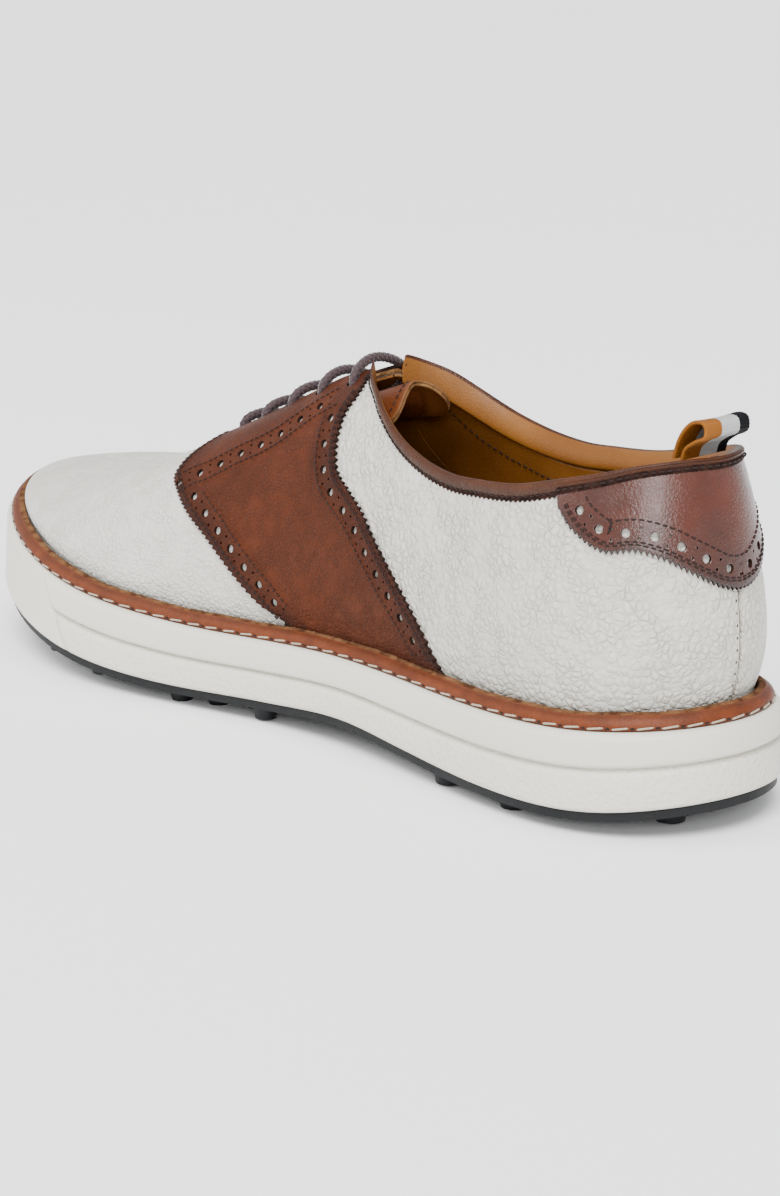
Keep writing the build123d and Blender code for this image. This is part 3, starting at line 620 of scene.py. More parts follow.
def makeLeather(name, values):
    # grain for the relief, mottling between two colours, painted shade in the valleys, and darker
    # rims that are partly painted shade
    material, tree, shader, place = startMaterial(name, {
        "Specular IOR Level": values.get("specular", 0.5), "Coat Weight": values.get("coat", 0.0),
        "Coat Roughness": 0.25, "Sheen Weight": values.get("sheen", 0.0)})
    grain = placed(tree, grainGroup, {
        "Vector": place, "Cells": values["cells"], "Warp": values.get("warp", 0.6),
        "Creases": values["creases"], "Crease Scale": values.get("creaseScale", 60.0)})
    broad = placed(tree, mottleGroup, {"Vector": place, "Scale": values.get("patches", 28.0)})
    color = mixColor(tree, broad.outputs[0], values["color"], values["shade"])
    # painted shade: the colour drawn towards the deep colour in the grain's grooves and creases
    valleyShade = mathNode(tree, "MULTIPLY", grain.outputs["Valley Shade"], values["valleyShade"])
    color = mixColor(tree, valleyShade, color, values["deep"])
    edge = addNode(tree, "ShaderNodeAttribute", attribute_name="edge").outputs["Fac"]
    rim = placed(tree, rimGroup, {"Color": color, "Edge": edge, "Vector": place,
                                  "Amount": values.get("rimAmount", 1.0)})
    rim.inputs["Rim"].default_value = (*values["rim"], 1)
    tree.links.new(rim.outputs[0], shader.inputs["Base Color"])
    rough = placed(tree, mottleGroup, {
        "Vector": place, "Scale": 90.0, "Low": values["rough"] - 0.06,
        "High": values["rough"] + 0.08})
    tree.links.new(rough.outputs[0], shader.inputs["Roughness"])
    bump(tree, shader, grain.outputs["Height"], values["relief"])
    return material


def makeCutEdge(name, color, pale, relief=0.25):
    # raw fibres of a cut edge
    material, tree, shader, place = startMaterial(name, {
        "Roughness": 0.85, "Specular IOR Level": 0.1})
    fuzz = placed(tree, fuzzGroup, {"Vector": place})
    tree.links.new(mixColor(tree, fuzz.outputs["Mask"], color, pale), shader.inputs["Base Color"])
    bump(tree, shader, fuzz.outputs["Height"], relief)
    return material


def makeThread(name, color, dark):
    # waxed twisted thread
    material, tree, shader, place = startMaterial(name, {
        "Roughness": 0.6, "Specular IOR Level": 0.2})
    twist = addNode(tree, "ShaderNodeTexWave", {"Vector": place, "Scale": 900.0,
                                                "Distortion": 2.0}, bands_direction="DIAGONAL")
    tree.links.new(mixColor(tree, twist.outputs["Fac"], color, dark), shader.inputs["Base Color"])
    bump(tree, shader, twist.outputs["Fac"], 0.1)
    return material


def makeRubber(name, values):
    # moulded rubber: fine pebbling where the "tier" field is 1, smooth elsewhere
    material, tree, shader, place = startMaterial(name, {
        "Specular IOR Level": values.get("specular", 0.4)})
    tier = addNode(tree, "ShaderNodeAttribute", attribute_name="tier").outputs["Fac"]
    zigzag = addNode(tree, "ShaderNodeTexVoronoi", {"Vector": place, "Scale": values["cells"]},
                     feature="SMOOTH_F1")
    pebbles = mathNode(tree, "MULTIPLY", zigzag.outputs["Distance"], tier)
    haze = addNode(tree, "ShaderNodeTexNoise", {"Vector": place, "Scale": 400.0, "Detail": 3.0})
    height = mathNode(tree, "ADD", pebbles, mathNode(tree, "MULTIPLY", haze.outputs[0], 0.12))
    bump(tree, shader, height, values["relief"])
    cloud = placed(tree, mottleGroup, {"Vector": place, "Scale": 18.0})
    tree.links.new(mixColor(tree, cloud.outputs[0], values["color"], values["shade"]),
                   shader.inputs["Base Color"])
    rough = placed(tree, mottleGroup, {
        "Vector": place, "Scale": 60.0, "Low": values["rough"] - 0.05,
        "High": values["rough"] + 0.05})
    tree.links.new(rough.outputs[0], shader.inputs["Roughness"])
    return material


def makeFoam(name, color, dark, cells=500.0):
    # open cells of moulded foam or the fibres of pressed board, with painted shade in the sunken
    # middles of the cells
    material, tree, shader, place = startMaterial(name, {"Roughness": 0.9})
    pores = addNode(tree, "ShaderNodeTexVoronoi", {"Vector": place, "Scale": cells})
    # painted shade: darker where the cells sink
    tree.links.new(mixColor(tree, pores.outputs["Distance"], dark, color),
                   shader.inputs["Base Color"])
    bump(tree, shader, pores.outputs["Distance"], 0.3)
    return material


def makeSteel():
    # brushed strip: noise stretched along the shoe
    material, tree, shader, place = startMaterial("springSteel", {"Metallic": 1.0})
    stretched = addNode(tree, "ShaderNodeMapping", {"Vector": place, "Scale": (20, 900, 900)})
    lines = addNode(tree, "ShaderNodeTexNoise", {"Vector": stretched.outputs[0], "Scale": 1.0})
    tree.links.new(mixColor(tree, lines.outputs[0], (0.42, 0.43, 0.45), (0.62, 0.63, 0.65)),
                   shader.inputs["Base Color"])
    tree.links.new(mapRange(tree, lines.outputs[0], 0, 1, 0.25, 0.5), shader.inputs["Roughness"])
    return material


def makeLaceCord():
    # crossing strands along the cord's own u (length) and v (round) coordinates, and painted shade on
    # the strands lying underneath
    material, tree, shader, place = startMaterial("laceCord", {
        "Roughness": 0.62, "Sheen Weight": 0.5, "Sheen Roughness": 0.4,
        "Specular IOR Level": 0.35})
    uv = addNode(tree, "ShaderNodeUVMap", uv_map="surface").outputs[0]
    strands = addNode(tree, "ShaderNodeTexNoise", {"Vector": uv, "Scale": 9.0, "Detail": 4.0})
    strandShade = addNode(tree, "ShaderNodeAttribute", attribute_name="strandShade").outputs["Fac"]
    # painted shade: near black where the strands lie low, lighter where they lie on top
    color = mixColor(tree, strandShade, (0.006, 0.003, 0.004), (0.062, 0.030, 0.034))
    color = mixColor(tree, mapRange(tree, strands.outputs[0], 0.3, 0.7), color,
                     (0.034, 0.016, 0.019))
    tree.links.new(color, shader.inputs["Base Color"])
    fibre = addNode(tree, "ShaderNodeTexNoise", {"Vector": place, "Scale": 2500.0})
    bump(tree, shader, fibre.outputs[0], 0.12)
    return material


def makeRibbon():
    # three woven stripes across the width, with the ribs of grosgrain and painted shade between them
    material, tree, shader, _ = startMaterial("stripedRibbon", {
        "Roughness": 0.6, "Specular IOR Level": 0.15})
    uv = addNode(tree, "ShaderNodeUVMap", uv_map="surface").outputs[0]
    parts = addNode(tree, "ShaderNodeSeparateXYZ", {0: uv}).outputs
    ramp = tree.nodes.new("ShaderNodeValToRGB")
    ramp.color_ramp.interpolation = "CONSTANT"
    for position, color in ((0.0, (0.004, 0.004, 0.006)), (0.22, (0.62, 0.615, 0.61)),
                            (0.62, (0.36, 0.125, 0.016))):
        stop = ramp.color_ramp.elements[0] if position == 0 else \
            ramp.color_ramp.elements.new(position)
        stop.position = position
        stop.color = (*color, 1)
    ramp.color_ramp.elements.remove(ramp.color_ramp.elements[-1])
    tree.links.new(parts[1], ramp.inputs[0])
    ribs = addNode(tree, "ShaderNodeTexWave", {"Vector": uv, "Scale": 18.0, "Distortion": 0.4,
                                               "Detail": 2.0}, bands_direction="X")
    # painted shade: the colour darkened to 0.72 in the grooves between the ribs
    ribShade = mapRange(tree, ribs.outputs["Fac"], 0.0, 1.0, 0.72, 1.0)
    ribShadeGrey = addNode(tree, "ShaderNodeCombineColor", {0: ribShade, 1: ribShade, 2: ribShade}).outputs[0]
    tree.links.new(mixColor(tree, 1.0, ramp.outputs[0], ribShadeGrey, "MULTIPLY"),
                   shader.inputs["Base Color"])
    bump(tree, shader, ribs.outputs["Fac"], 0.15)
    return material


# in each leather, deep is the colour of the painted shade in the grain's valleys, with its strength
# beside it
leatherValues = {
    "tumbledWhite": {"color": (0.585, 0.565, 0.51), "shade": (0.53, 0.51, 0.455),
                     "deep": (0.30, 0.28, 0.24), "valleyShade": 0.20, "rim": (0.34, 0.30, 0.24),
                     "cells": 500.0, "relief": 0.70, "creases": 0.7, "creaseScale": 52.0,
                     "rough": 0.38, "specular": 0.4, "warp": 1.5},
    "smoothWhite": {"color": (0.60, 0.585, 0.535), "shade": (0.55, 0.53, 0.48),
                    "deep": (0.34, 0.31, 0.27), "valleyShade": 0.22, "rim": (0.34, 0.30, 0.24),
                    "cells": 700.0, "relief": 0.42, "creases": 0.8, "creaseScale": 44.0,
                    "rough": 0.38, "specular": 0.45, "warp": 1.5},
    "saddleBrown": {"color": (0.082, 0.0165, 0.0030), "shade": (0.044, 0.0090, 0.0018),
                    "deep": (0.020, 0.0050, 0.0014), "valleyShade": 0.50, "rim": (0.012, 0.004, 0.003),
                    "cells": 1050.0, "relief": 0.34, "creases": 0.7, "rough": 0.45,
                    "warp": 0.8, "specular": 0.14},
    "polishedBrown": {"color": (0.085, 0.0135, 0.0034), "shade": (0.036, 0.0062, 0.0020),
                      "deep": (0.016, 0.004, 0.0015), "valleyShade": 0.22, "rim": (0.010, 0.003, 0.002),
                      "cells": 1300.0, "relief": 0.06, "creases": 0.15, "rough": 0.26,
                      "coat": 0.30, "patches": 40.0},
    "weltBrown": {"color": (0.145, 0.032, 0.0075), "shade": (0.085, 0.018, 0.0045),
                  "deep": (0.05, 0.014, 0.005), "valleyShade": 0.3, "rim": (0.045, 0.014, 0.006),
                  "cells": 1500.0, "relief": 0.08, "creases": 0.2, "rough": 0.45,
                  "patches": 150.0, "specular": 0.2},
    "bindingBrown": {"color": (0.068, 0.019, 0.0045), "shade": (0.034, 0.009, 0.0026),
                     "deep": (0.020, 0.006, 0.002), "valleyShade": 0.40, "rim": (0.02, 0.006, 0.003),
                     "cells": 1300.0, "relief": 0.12, "creases": 0.6, "rough": 0.40,
                     "patches": 80.0, "specular": 0.22},
    "tanLining": {"color": (0.215, 0.082, 0.0135), "shade": (0.145, 0.050, 0.0078),
                  "deep": (0.10, 0.035, 0.007), "valleyShade": 0.14, "rim": (0.05, 0.017, 0.004),
                  "cells": 1700.0, "relief": 0.05, "creases": 0.25, "rough": 0.45,
                  "patches": 26.0, "specular": 0.2},
    "tongueLining": {"color": (0.135, 0.045, 0.0085), "shade": (0.075, 0.023, 0.0045),
                     "deep": (0.03, 0.01, 0.003), "valleyShade": 0.14, "rim": (0.03, 0.01, 0.003),
                     "cells": 1500.0, "relief": 0.05, "creases": 0.25, "rough": 0.45,
                     "specular": 0.2},
    "tongueBrown": {"color": (0.115, 0.028, 0.006), "shade": (0.06, 0.014, 0.0035),
                    "deep": (0.02, 0.006, 0.002), "valleyShade": 0.3, "rim": (0.16, 0.06, 0.018),
                    "cells": 1200.0, "relief": 0.10, "creases": 0.4, "rough": 0.42,
                    "specular": 0.2},
}
finishes = {name: makeLeather(name, values) for name, values in leatherValues.items()}
finishes["darkCut"] = makeCutEdge("darkCut", (0.012, 0.005, 0.004), (0.034, 0.014, 0.009))
finishes["paleCut"] = makeCutEdge("paleCut", (0.105, 0.048, 0.018), (0.25, 0.125, 0.05))
finishes["weltRaw"] = makeCutEdge("weltRaw", (0.055, 0.020, 0.009), (0.15, 0.070, 0.030), 0.6)
finishes["whiteThread"] = makeThread("whiteThread", (0.52, 0.46, 0.36), (0.24, 0.19, 0.14))
finishes["darkThread"] = makeThread("darkThread", (0.010, 0.005, 0.005), (0.030, 0.014, 0.011))
finishes["sideRubber"] = makeRubber("sideRubber", {
    "color": (0.66, 0.635, 0.565), "shade": (0.62, 0.595, 0.52), "rough": 0.42,
    "cells": 900.0, "relief": 0.38})
finishes["soleRubber"] = makeRubber("soleRubber", {
    "color": (0.004, 0.0045, 0.005), "shade": (0.009, 0.0095, 0.0105), "rough": 0.55,
    "cells": 1500.0, "relief": 0.1, "specular": 0.22})
finishes["foam"] = makeFoam("foam", (0.72, 0.69, 0.60), (0.45, 0.42, 0.34))
finishes["board"] = makeFoam("board", (0.58, 0.49, 0.35), (0.40, 0.32, 0.21), 900.0)
finishes["steel"] = makeSteel()
finishes["laceCord"] = makeLaceCord()
finishes["ribbon"] = makeRibbon()
finishes["agletPlastic"] = makeRubber("agletPlastic", {
    "color": (0.05, 0.026, 0.028), "shade": (0.07, 0.036, 0.038), "rough": 0.2,
    "cells": 900.0, "relief": 0.02})
print("finishes ready:", len(finishes))


# Camera, light and floor.
studio = {
    "cameraPlace": (-0.5421, 0.4919, 0.2355),
    "cameraTowards": (0.698, -0.662, -0.274),
    "lens": 77.36,
    "shift": (-0.0191, 0.0108),
    "skyStrength": 1.0,
    "skyColor": (0.98, 0.99, 1.0),
    "floorColor": (0.97, 0.97, 0.97),
    "sun": {"from": (-0.38, 0.52, 1.0), "strength": 5.2, "spread": 34.0},
    # name, place, size, power, aimed at
    "lamps": [("heelLamp", (-0.80, 0.75, 0.42), 0.35, 4.0, (-0.10, 0.03, 0.06)),
              ("toeLamp", (0.55, 0.70, 0.60), 0.5, 4.0, (0.08, 0.0, 0.05))],
}


def addCamera():
    data = bpy.data.cameras.new("camera")
    data.lens = studio["lens"]
    data.sensor_width = 36.0
    data.shift_x, data.shift_y = studio["shift"]
    data.clip_start, data.clip_end = 0.02, 50.0
    camera = bpy.data.objects.new("camera", data)
    camera.location = studio["cameraPlace"]
    camera.rotation_mode = "QUATERNION"
    camera.rotation_quaternion = Vector(studio["cameraTowards"]).to_track_quat("-Z", "Y")
    bpy.context.scene.collection.objects.link(camera)
    bpy.context.scene.camera = camera


def addLamps():
    world = bpy.data.worlds.new("studio")
    world.use_nodes = True
    sky = world.node_tree.nodes["Background"]
    sky.inputs["Color"].default_value = (*studio["skyColor"], 1)
    sky.inputs["Strength"].default_value = studio["skyStrength"]
    bpy.context.scene.world = world
    sun = bpy.data.lights.new("softSun", "SUN")
    sun.energy = studio["sun"]["strength"]
    sun.angle = math.radians(studio["sun"]["spread"])
    lamp = bpy.data.objects.new("softSun", sun)
    lamp.rotation_mode = "QUATERNION"
    lamp.rotation_quaternion = (-Vector(studio["sun"]["from"])).to_track_quat("-Z", "Y")
    bpy.context.scene.collection.objects.link(lamp)
    for name, place, size, power, aim in studio["lamps"]:
        data = bpy.data.lights.new(name, "AREA")
        data.shape = "DISK"
        data.size = size
        data.energy = power
        lamp = bpy.data.objects.new(name, data)
        lamp.location = place
        lamp.rotation_mode = "QUATERNION"
        lamp.rotation_quaternion = (Vector(aim) - Vector(place)).to_track_quat("-Z", "Y")
        bpy.context.scene.collection.objects.link(lamp)


def addFloor():
    material, tree, shader, place = startMaterial("paperFloor", {"Roughness": 0.8})
    paper = placed(tree, mottleGroup, {"Vector": place, "Scale": 3.0})
    tree.links.new(mixColor(tree, paper.outputs[0], studio["floorColor"],
                            tuple(c * 0.99 for c in studio["floorColor"])),
                   shader.inputs["Base Color"])
    mesh = bpy.data.meshes.new("floor")
    reach = 15.0
    mesh.from_pydata([(-reach, -reach, 0), (reach, -reach, 0), (reach, reach, 0),
                      (-reach, reach, 0)], [], [(0, 1, 2, 3)])
    mesh.materials.append(material)
    floor = bpy.data.objects.new("floor", mesh)
    bpy.context.scene.collection.objects.link(floor)


addCamera()
addLamps()
addFloor()
print("camera, lamps and floor ready")


def weld(piece, distance=2e-6):
    # joins points that lie on each other, so that seams and poles are closed
    work = bmesh.new()
    work.from_mesh(piece.data)
    bmesh.ops.remove_doubles(work, verts=work.verts, dist=distance)
    bmesh.ops.dissolve_degenerate(work, edges=work.edges, dist=distance)
    work.to_mesh(piece.data)
    work.free()
    return piece


# Sole wall.
wall = {
    "rows": 720,
    "lean": 1.5,              # how far the wall leans in over its height
    "thickness": 11.0,
    "grooveAt": 0.52,         # share of the height between the two tiers
    "grooveDepth": 1.25,
    "grooveWidth": 0.042,
    "tierSwell": 0.7,
    "bumperFoot": 0.354,      # turn where the toe bumper starts, at the foot and at the top
    "bumperTop": 0.375,
    "bumperSwell": 0.35,
    "rimRound": 1.3,
}


def wallOuter(turn, v):
    # how far the wall stands out: two swelling tiers, sin^0.6 of each one's height, with a
    # Gaussian groove between them, and a plain toe bumper behind a slanted crease
    away = np.minimum(turn % 1, (-turn) % 1)
    crease = wall["bumperFoot"] + (wall["bumperTop"] - wall["bumperFoot"]) * v
    bumper = smooth((away - crease) / 0.0022)
    g = wall["grooveAt"] + 0.03 * np.cos(turn * 4 * np.pi)
    share = np.where(v < g, v / g, (v - g) / (1 - g))
    tiers = wall["tierSwell"] * np.maximum(np.sin(np.pi * share), 0) ** 0.6
    tiers = tiers - wall["grooveDepth"] * np.exp(-((v - g) / wall["grooveWidth"]) ** 2)
    tiers = tiers + 0.35 * smooth((v - g) / 0.05)
    line = 0.8 * np.exp(-((away - crease - 0.0005) / 0.0012) ** 2)
    return tiers * (1 - bumper) + wall["bumperSwell"] * bumper - line, bumper, v < g


def addSoleWall():
    turn = np.linspace(0, 1, wall["rows"], endpoint=False)
    v = np.unique(np.r_[0, np.linspace(0.0, 1.0, 44), wall["grooveAt"]
                        + np.linspace(-0.12, 0.12, 25)])
    tt, vv = np.meshgrid(turn, v, indexing="ij")
    place, outward = footprint(tt)
    low, high = footZ(place[..., 0]), topZ(place[..., 0])
    height = high - low
    swell, bumper, below = wallOuter(tt, vv)
    radius = wall["rimRound"]
    rim = np.clip(radius - np.minimum(vv, 1 - vv) * height, 0, radius)
    rounded = radius - np.sqrt(np.maximum(radius ** 2 - rim ** 2, 0))
    inset = wall["lean"] * vv - swell * (1 - rim / radius) + rounded * 0.8
    face = np.concatenate([place - outward * inset[..., None],
                           (low + height * vv)[..., None]], -1)
    # the top, the inner side and the underside, as insets from the footprint
    back = [(4.5, 1.0), (7.0, 1.0), (9.5, 1.0), (11.0, 1.0), (11.0, 0.7), (11.0, 0.35),
            (11.0, 0.0), (7.0, 0.0), (3.0, 0.0)]
    inner = [np.concatenate([place[:, 0] - outward[:, 0] * d,
                             (low[:, 0] + height[:, 0] * s)[:, None]], -1) for d, s in back]
    points = np.concatenate([face, np.stack(inner, 1)], 1)
    rows, columns = points.shape[:2]
    tier = np.concatenate([np.where(below, 1.0, 0.0) * (1 - bumper),
                           np.zeros((rows, len(back)))], 1)
    piece = addPiece("side_wall", points, gridQuads(rows, columns, True, True),
                     [finishes["sideRubber"]], "cream_rubber", fields={"tier": tier})
    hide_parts("cup_sole")


addSoleWall()
print("sole wall ready")

# Welt.
welt = {
    "rows": 900,
    # inset from the footprint and height over the wall: bottom, outer face, crest, raw edge
    "section": [(3.1, 0.03), (2.75, 0.35), (2.7, 1.0), (2.85, 1.7), (3.25, 2.4), (3.8, 2.95),
                (4.35, 3.35), (4.75, 3.6), (5.15, 3.78), (5.6, 3.98), (6.1, 4.15), (6.6, 4.2),
                (6.95, 4.0), (7.1, 3.2), (7.1, 1.5), (6.9, 0.03)],
    "rawFrom": 8,
    "rawTo": 13,
    "fray": 0.20,
    "stitch": {"pitch": 6.4, "length": 4.6, "radius": 0.27},
    "stitchAt": (2.80, 0.95),
}


def addWelt():
    turn = np.linspace(0, 1, welt["rows"], endpoint=False)
    section = np.array(welt["section"])
    tt, _ = np.meshgrid(turn, section[:, 0], indexing="ij")
    place, outward = footprint(tt)
    fray = np.zeros(len(section))
    fray[welt["rawFrom"] + 1:welt["rawTo"]] = 1
    wave = (np.sin(tt * 5131) + np.sin(tt * 3307 + 1.3) + np.sin(tt * 1709 + 0.4)) / 3
    offset = welt["fray"] * wave * fray
    slow = 0.12 * np.sin(tt * 2 * np.pi * 23) * (section[:, 1] > 1)
    flat = place - outward * (section[:, 0] - offset * 0.6)[..., None]
    height = topZ(place[..., 0]) + section[:, 1] + offset + slow
    points = np.concatenate([flat, height[..., None]], -1)
    faces = gridQuads(len(turn), len(section), True, True)
    column = faces[:, 0] % len(section)
    raw = ((column >= welt["rawFrom"]) & (column < welt["rawTo"])).astype(int)
    edge = np.broadcast_to(np.exp(-section[:, 1] / 0.5)
                           + 0.6 * np.exp(-((section[:, 1] - 3.3) / 0.35) ** 2),
                           tt.shape)
    piece = addPiece("welt_strip", points, faces, [finishes["weltBrown"], finishes["weltRaw"]],
                     "welt_leather", fields={"edge": np.clip(edge, 0, 1)}, faceMaterial=raw)
    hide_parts("welt")


def addWeltStitches():
    values = welt["stitch"]
    inset, height = welt["stitchAt"]
    turns = np.linspace(0, 1, 3000)
    place, outward = footprint(turns)
    path = np.c_[place - outward * inset, topZ(place[:, 0]) + height]
    run = np.r_[0, np.cumsum(np.linalg.norm(np.diff(path, axis=0), axis=1))]
    count = int(run[-1] / values["pitch"])
    at = (np.arange(count) + 0.5) * run[-1] / count
    turn = np.interp(at, run, turns)
    spot, out = footprint(turn)
    along = unit(np.stack([np.interp(at, run, g) for g in np.gradient(path, axis=0).T], -1))
    normal = np.c_[out, np.full(count, 0.12)]
    normal = unit(normal - along * (normal * along).sum(-1, keepdims=True))
    across = np.cross(normal, along)
    slant = unit(along + 0.09 * across)
    template, triangles = capsule(values["length"], values["radius"], 8)
    points, faces = instances(template, triangles, (
        np.c_[spot - out * inset, topZ(spot[:, 0]) + height], slant,
        np.cross(normal, slant), normal))
    addPiece("welt_stitches", points, faces, [finishes["whiteThread"]], "welt_leather")
    # the awl holes between the stitches, as small dark dimples of painted shade
    between = (np.arange(count) + 1.0) * run[-1] / count
    turn = np.interp(between % run[-1], run, turns)
    spot, out = footprint(turn)
    template, triangles = capsule(1.2, 0.34, 6, 0.2)
    points, faces = instances(template, triangles, (
        np.c_[spot - out * (inset + 0.12), topZ(spot[:, 0]) + height], along,
        np.cross(normal, along), normal))
    addPiece("welt_hole_shade", points, faces, [finishes["darkThread"]], "welt_leather")


addWelt()
addWeltStitches()
print("welt ready")

# Lace holes.
laces = {
    "radius": 1.5,
    "under": 4.3,
    "over": 3.4,
    "crown": 4.6,
    "tucks": [(0.14, 4.2), (0.36, 4.9), (0.54, 6.9)],
    "fromEdge": 0.13,
    "rows": [-9.0, 4.0, 17.0, 29.0, 40.0],
    "holeRadius": 2.1,
    "strands": 4,             # strands lying each way round the cord
    "twistLength": 7.0,       # length over which a strand goes once round
    "relief": 0.16,
    "step": 0.24,             # length of cord between two rings of points
    "around": 44,
}


def turnAtSpine(x):
    # turn on the inner side whose ridge point lies at x
    turns = np.linspace(0.15, 0.40, 800)
    return float(np.interp(x, last(turns, math.pi / 2, 0.0)[..., 0], turns))


def besideEyelet(x, side, drop, depth):
    # a point below a lace hole by a drop in climb, at a depth under the facing
    turn = turnAtSpine(x)
    edge = float(np.interp(turn, *zip(*facingLine)))
    climb = edge - laces["fromEdge"] - drop
    return last(np.array(side * turn), np.array(climb), np.array(depth))


def eyeletPins():
    # places and directions of the lace holes on both sides
    spots = [(x, side) for side in (1, -1) for x in laces["rows"]]
    places = np.array([besideEyelet(x, side, 0.0, 0.0) for x, side in spots])
    tops = np.array([besideEyelet(x, side, 0.0, -6.0) for x, side in spots])
    return places, unit(tops - places)


def cutEyelets(piece, material):
    places, axes = eyeletPins()
    radii = np.full(len(places), laces["holeRadius"])
    return cutHoles(piece, places, axes, radii, -9.0, 7.0, material, 20)


# White leather.
upper = {
    "quarterRows": 210,
    "quarterLength": 190.0,   # from the back seam to the edge under the saddle
    "quarterColumns": 96,
    "vampRows": 130,
    "vampColumns": 90,
    "swell": 0.16,
    "backSeam": 0.0006,
    "seamRound": 0.9,
}


def quarterFill(back, sink):
    top = curveThrough([(max(t, back), c - sink) for t, c in topline[:-1]] + [underSaddle[-1]])
    left = straight((back, hem), (back, topline[0][1] - sink))
    return coons(straight((back, hem), underSaddle[0]), top, left, curveThrough(underSaddle))


def addQuarter(name, side):
    u = edgeSteps(upper["quarterRows"], 0.2, upper["quarterLength"])
    v = np.linspace(0, 1, upper["quarterColumns"])
    uu, vv = np.meshgrid(u, v, indexing="ij")
    turn, climb = np.moveaxis(quarterFill(upper["backSeam"], 0.0)(uu, vv), -1, 0)
    dip = rounding(uu, upper["quarterLength"], upper["seamRound"]) * (uu < 0.5)
    base = last(side * turn, climb, 0.0)
    depth = dip + rippled(base, 11.0, upper["swell"]) * smooth(uu * 12) * smooth((1 - vv) * 8)
    outer = last(side * turn, climb, depth)
    inner = last(side * turn, climb, shoe["leather"] + 0 * depth)
    edge = 0.5 * np.exp(-uu * upper["quarterLength"] / 0.8)
    # painted shade: the next term darkens a narrow band where the quarter meets the welt; the one
    # above is the dark back seam
    edge = edge + 0.35 * np.exp(-climb.clip(0) / 0.02)
    piece = addSlab("quarter_" + name + "_leather", outer, inner, finishes["tumbledWhite"],
                    finishes["paleCut"], "white_leather", fields={"edge": edge})
    cutEyelets(piece, finishes["paleCut"])
    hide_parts("quarter_" + name)


def addVamp():
    # both halves in one grid: from the inner rear edge over the toe to the outer rear edge
    rear = [(t + 0.0006, c) for t, c in underSaddle]
    split, toe = 0.5, 0.5
    edge = curveThrough([rear[-1], ((rear[-1][0] + throatFoot[0]) / 2,
                                    (rear[-1][1] + throatFoot[1]) / 2), throatFoot])
    ridge = straight(throatFoot, (toe, throatFoot[1]))

    def top(u):
        before = edge(np.clip(u / split, 0, 1))
        after = ridge(np.clip((u - split) / (1 - split), 0, 1))
        return np.where((u < split)[..., None], before, after)

    fill = coons(straight(rear[0], (toe, hem)), top, curveThrough(rear),
                 straight((toe, hem), (toe, throatFoot[1])))
    half = upper["vampRows"] // 2
    u = np.r_[np.linspace(0, split, half, endpoint=False), np.linspace(split, 1, half)]
    v = np.linspace(0, 1, upper["vampColumns"])
    uu, vv = np.meshgrid(u, v, indexing="ij")
    turn, climb = np.moveaxis(fill(uu, vv), -1, 0)
    turn = np.concatenate([turn, 1 - turn[-2::-1]], 0)
    climb = np.concatenate([climb, climb[-2::-1]], 0)
    uu = np.concatenate([uu, uu[-2::-1]], 0)
    vv = np.concatenate([vv, vv[-2::-1]], 0)
    base = last(turn, climb, 0.0)
    away = smooth((np.pi / 2 - climb) * 5)
    depth = rippled(base, 14.0, upper["swell"] * 0.6) * smooth((1 - vv) * 8) * away
    outer = last(turn, climb, depth)
    inner = last(turn, climb, shoe["leather"] + 0 * turn)
    onRidge = (vv > 1 - 1e-9) & (uu >= split - 1e-9)
    points, faces, isRim = slabArrays(outer, inner)
    ridgePoint = np.r_[onRidge.ravel(), onRidge.ravel()]
    keep = ~(ridgePoint[faces].all(1) & (isRim == 1))
    # painted shade: the vamp darkened in a narrow band where it meets the welt
    soft = 0.35 * np.exp(-climb.clip(0) / 0.02)
    piece = addPiece("vamp_leather", points, faces[keep],
                     [finishes["smoothWhite"], finishes["paleCut"]], "white_leather",
                     fields={"edge": np.r_[soft.ravel(), soft.ravel()]},
                     faceMaterial=isRim[keep])
    weld(piece)
    cutEyelets(piece, finishes["paleCut"])
    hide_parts("vamp")


addVamp()
for name, side in (("medial", 1), ("lateral", -1)):
    addQuarter(name, side)
# painted shade: a row of tiny dark bars for the shade in the back seam's stitch holes
seamLine = [(0.0026, 0.0), (0.0026, 0.1), (0.0026, 0.2), (0.0026, 0.30)]
seamHoleShade = {"pitch": 3.0, "length": 0.7, "radius": 0.22}
addStitches("back_seam_hole_shade", [(dense(seamLine), 1, 0.08)],
            seamHoleShade, finishes["darkThread"], "white_leather")
print("white leather ready")

# Brown leather with perforations.
brogue = {
    "teeth": 54,
    "toothDepth": 1.15,
    "holePitch": 7.0,
    "holeRadius": 1.2,
    "pinRadius": 0.38,
    "pinAside": 1.35,         # how far the small holes lie from the band's middle
    "bandMiddle": 5.3,
    "outerRows": (2.1, 2.8),  # stitch rows, in from the pinked edge
    "innerRow": 8.3,
    "stitch": {"pitch": 1.95, "length": 1.45, "radius": 0.24},
}


def toothPull(along, count):
    # 0 at a tooth's tip and 1 in the notch between two: a triangle wave
    return 1 - np.abs(2 * ((along * count) % 1) - 1)


def trimmed(line, low, high):
    # the stretch of a line whose climb lies between two values
    return line[(line[:, 1] >= low) & (line[:, 1] <= high)]


def bandHoles(line, side, first=0.5):
    # large holes at an even pitch along a line, and two small ones between each pair
    large = spacedOn(line, brogue["holePitch"], side, 0.0, first)
    small = spacedOn(line, brogue["holePitch"], side, 0.0, (first + 0.5) % 1)
    places, axes, radii = [large["place"]], [large["normal"]], [np.full(
        len(large["place"]), brogue["holeRadius"])]
    for aside in (-1, 1):
        places.append(small["place"] + small["across"] * aside * brogue["pinAside"])
        axes.append(small["normal"])
        radii.append(np.full(len(small["place"]), brogue["pinRadius"]))
    return np.concatenate(places), np.concatenate(axes), np.concatenate(radii)


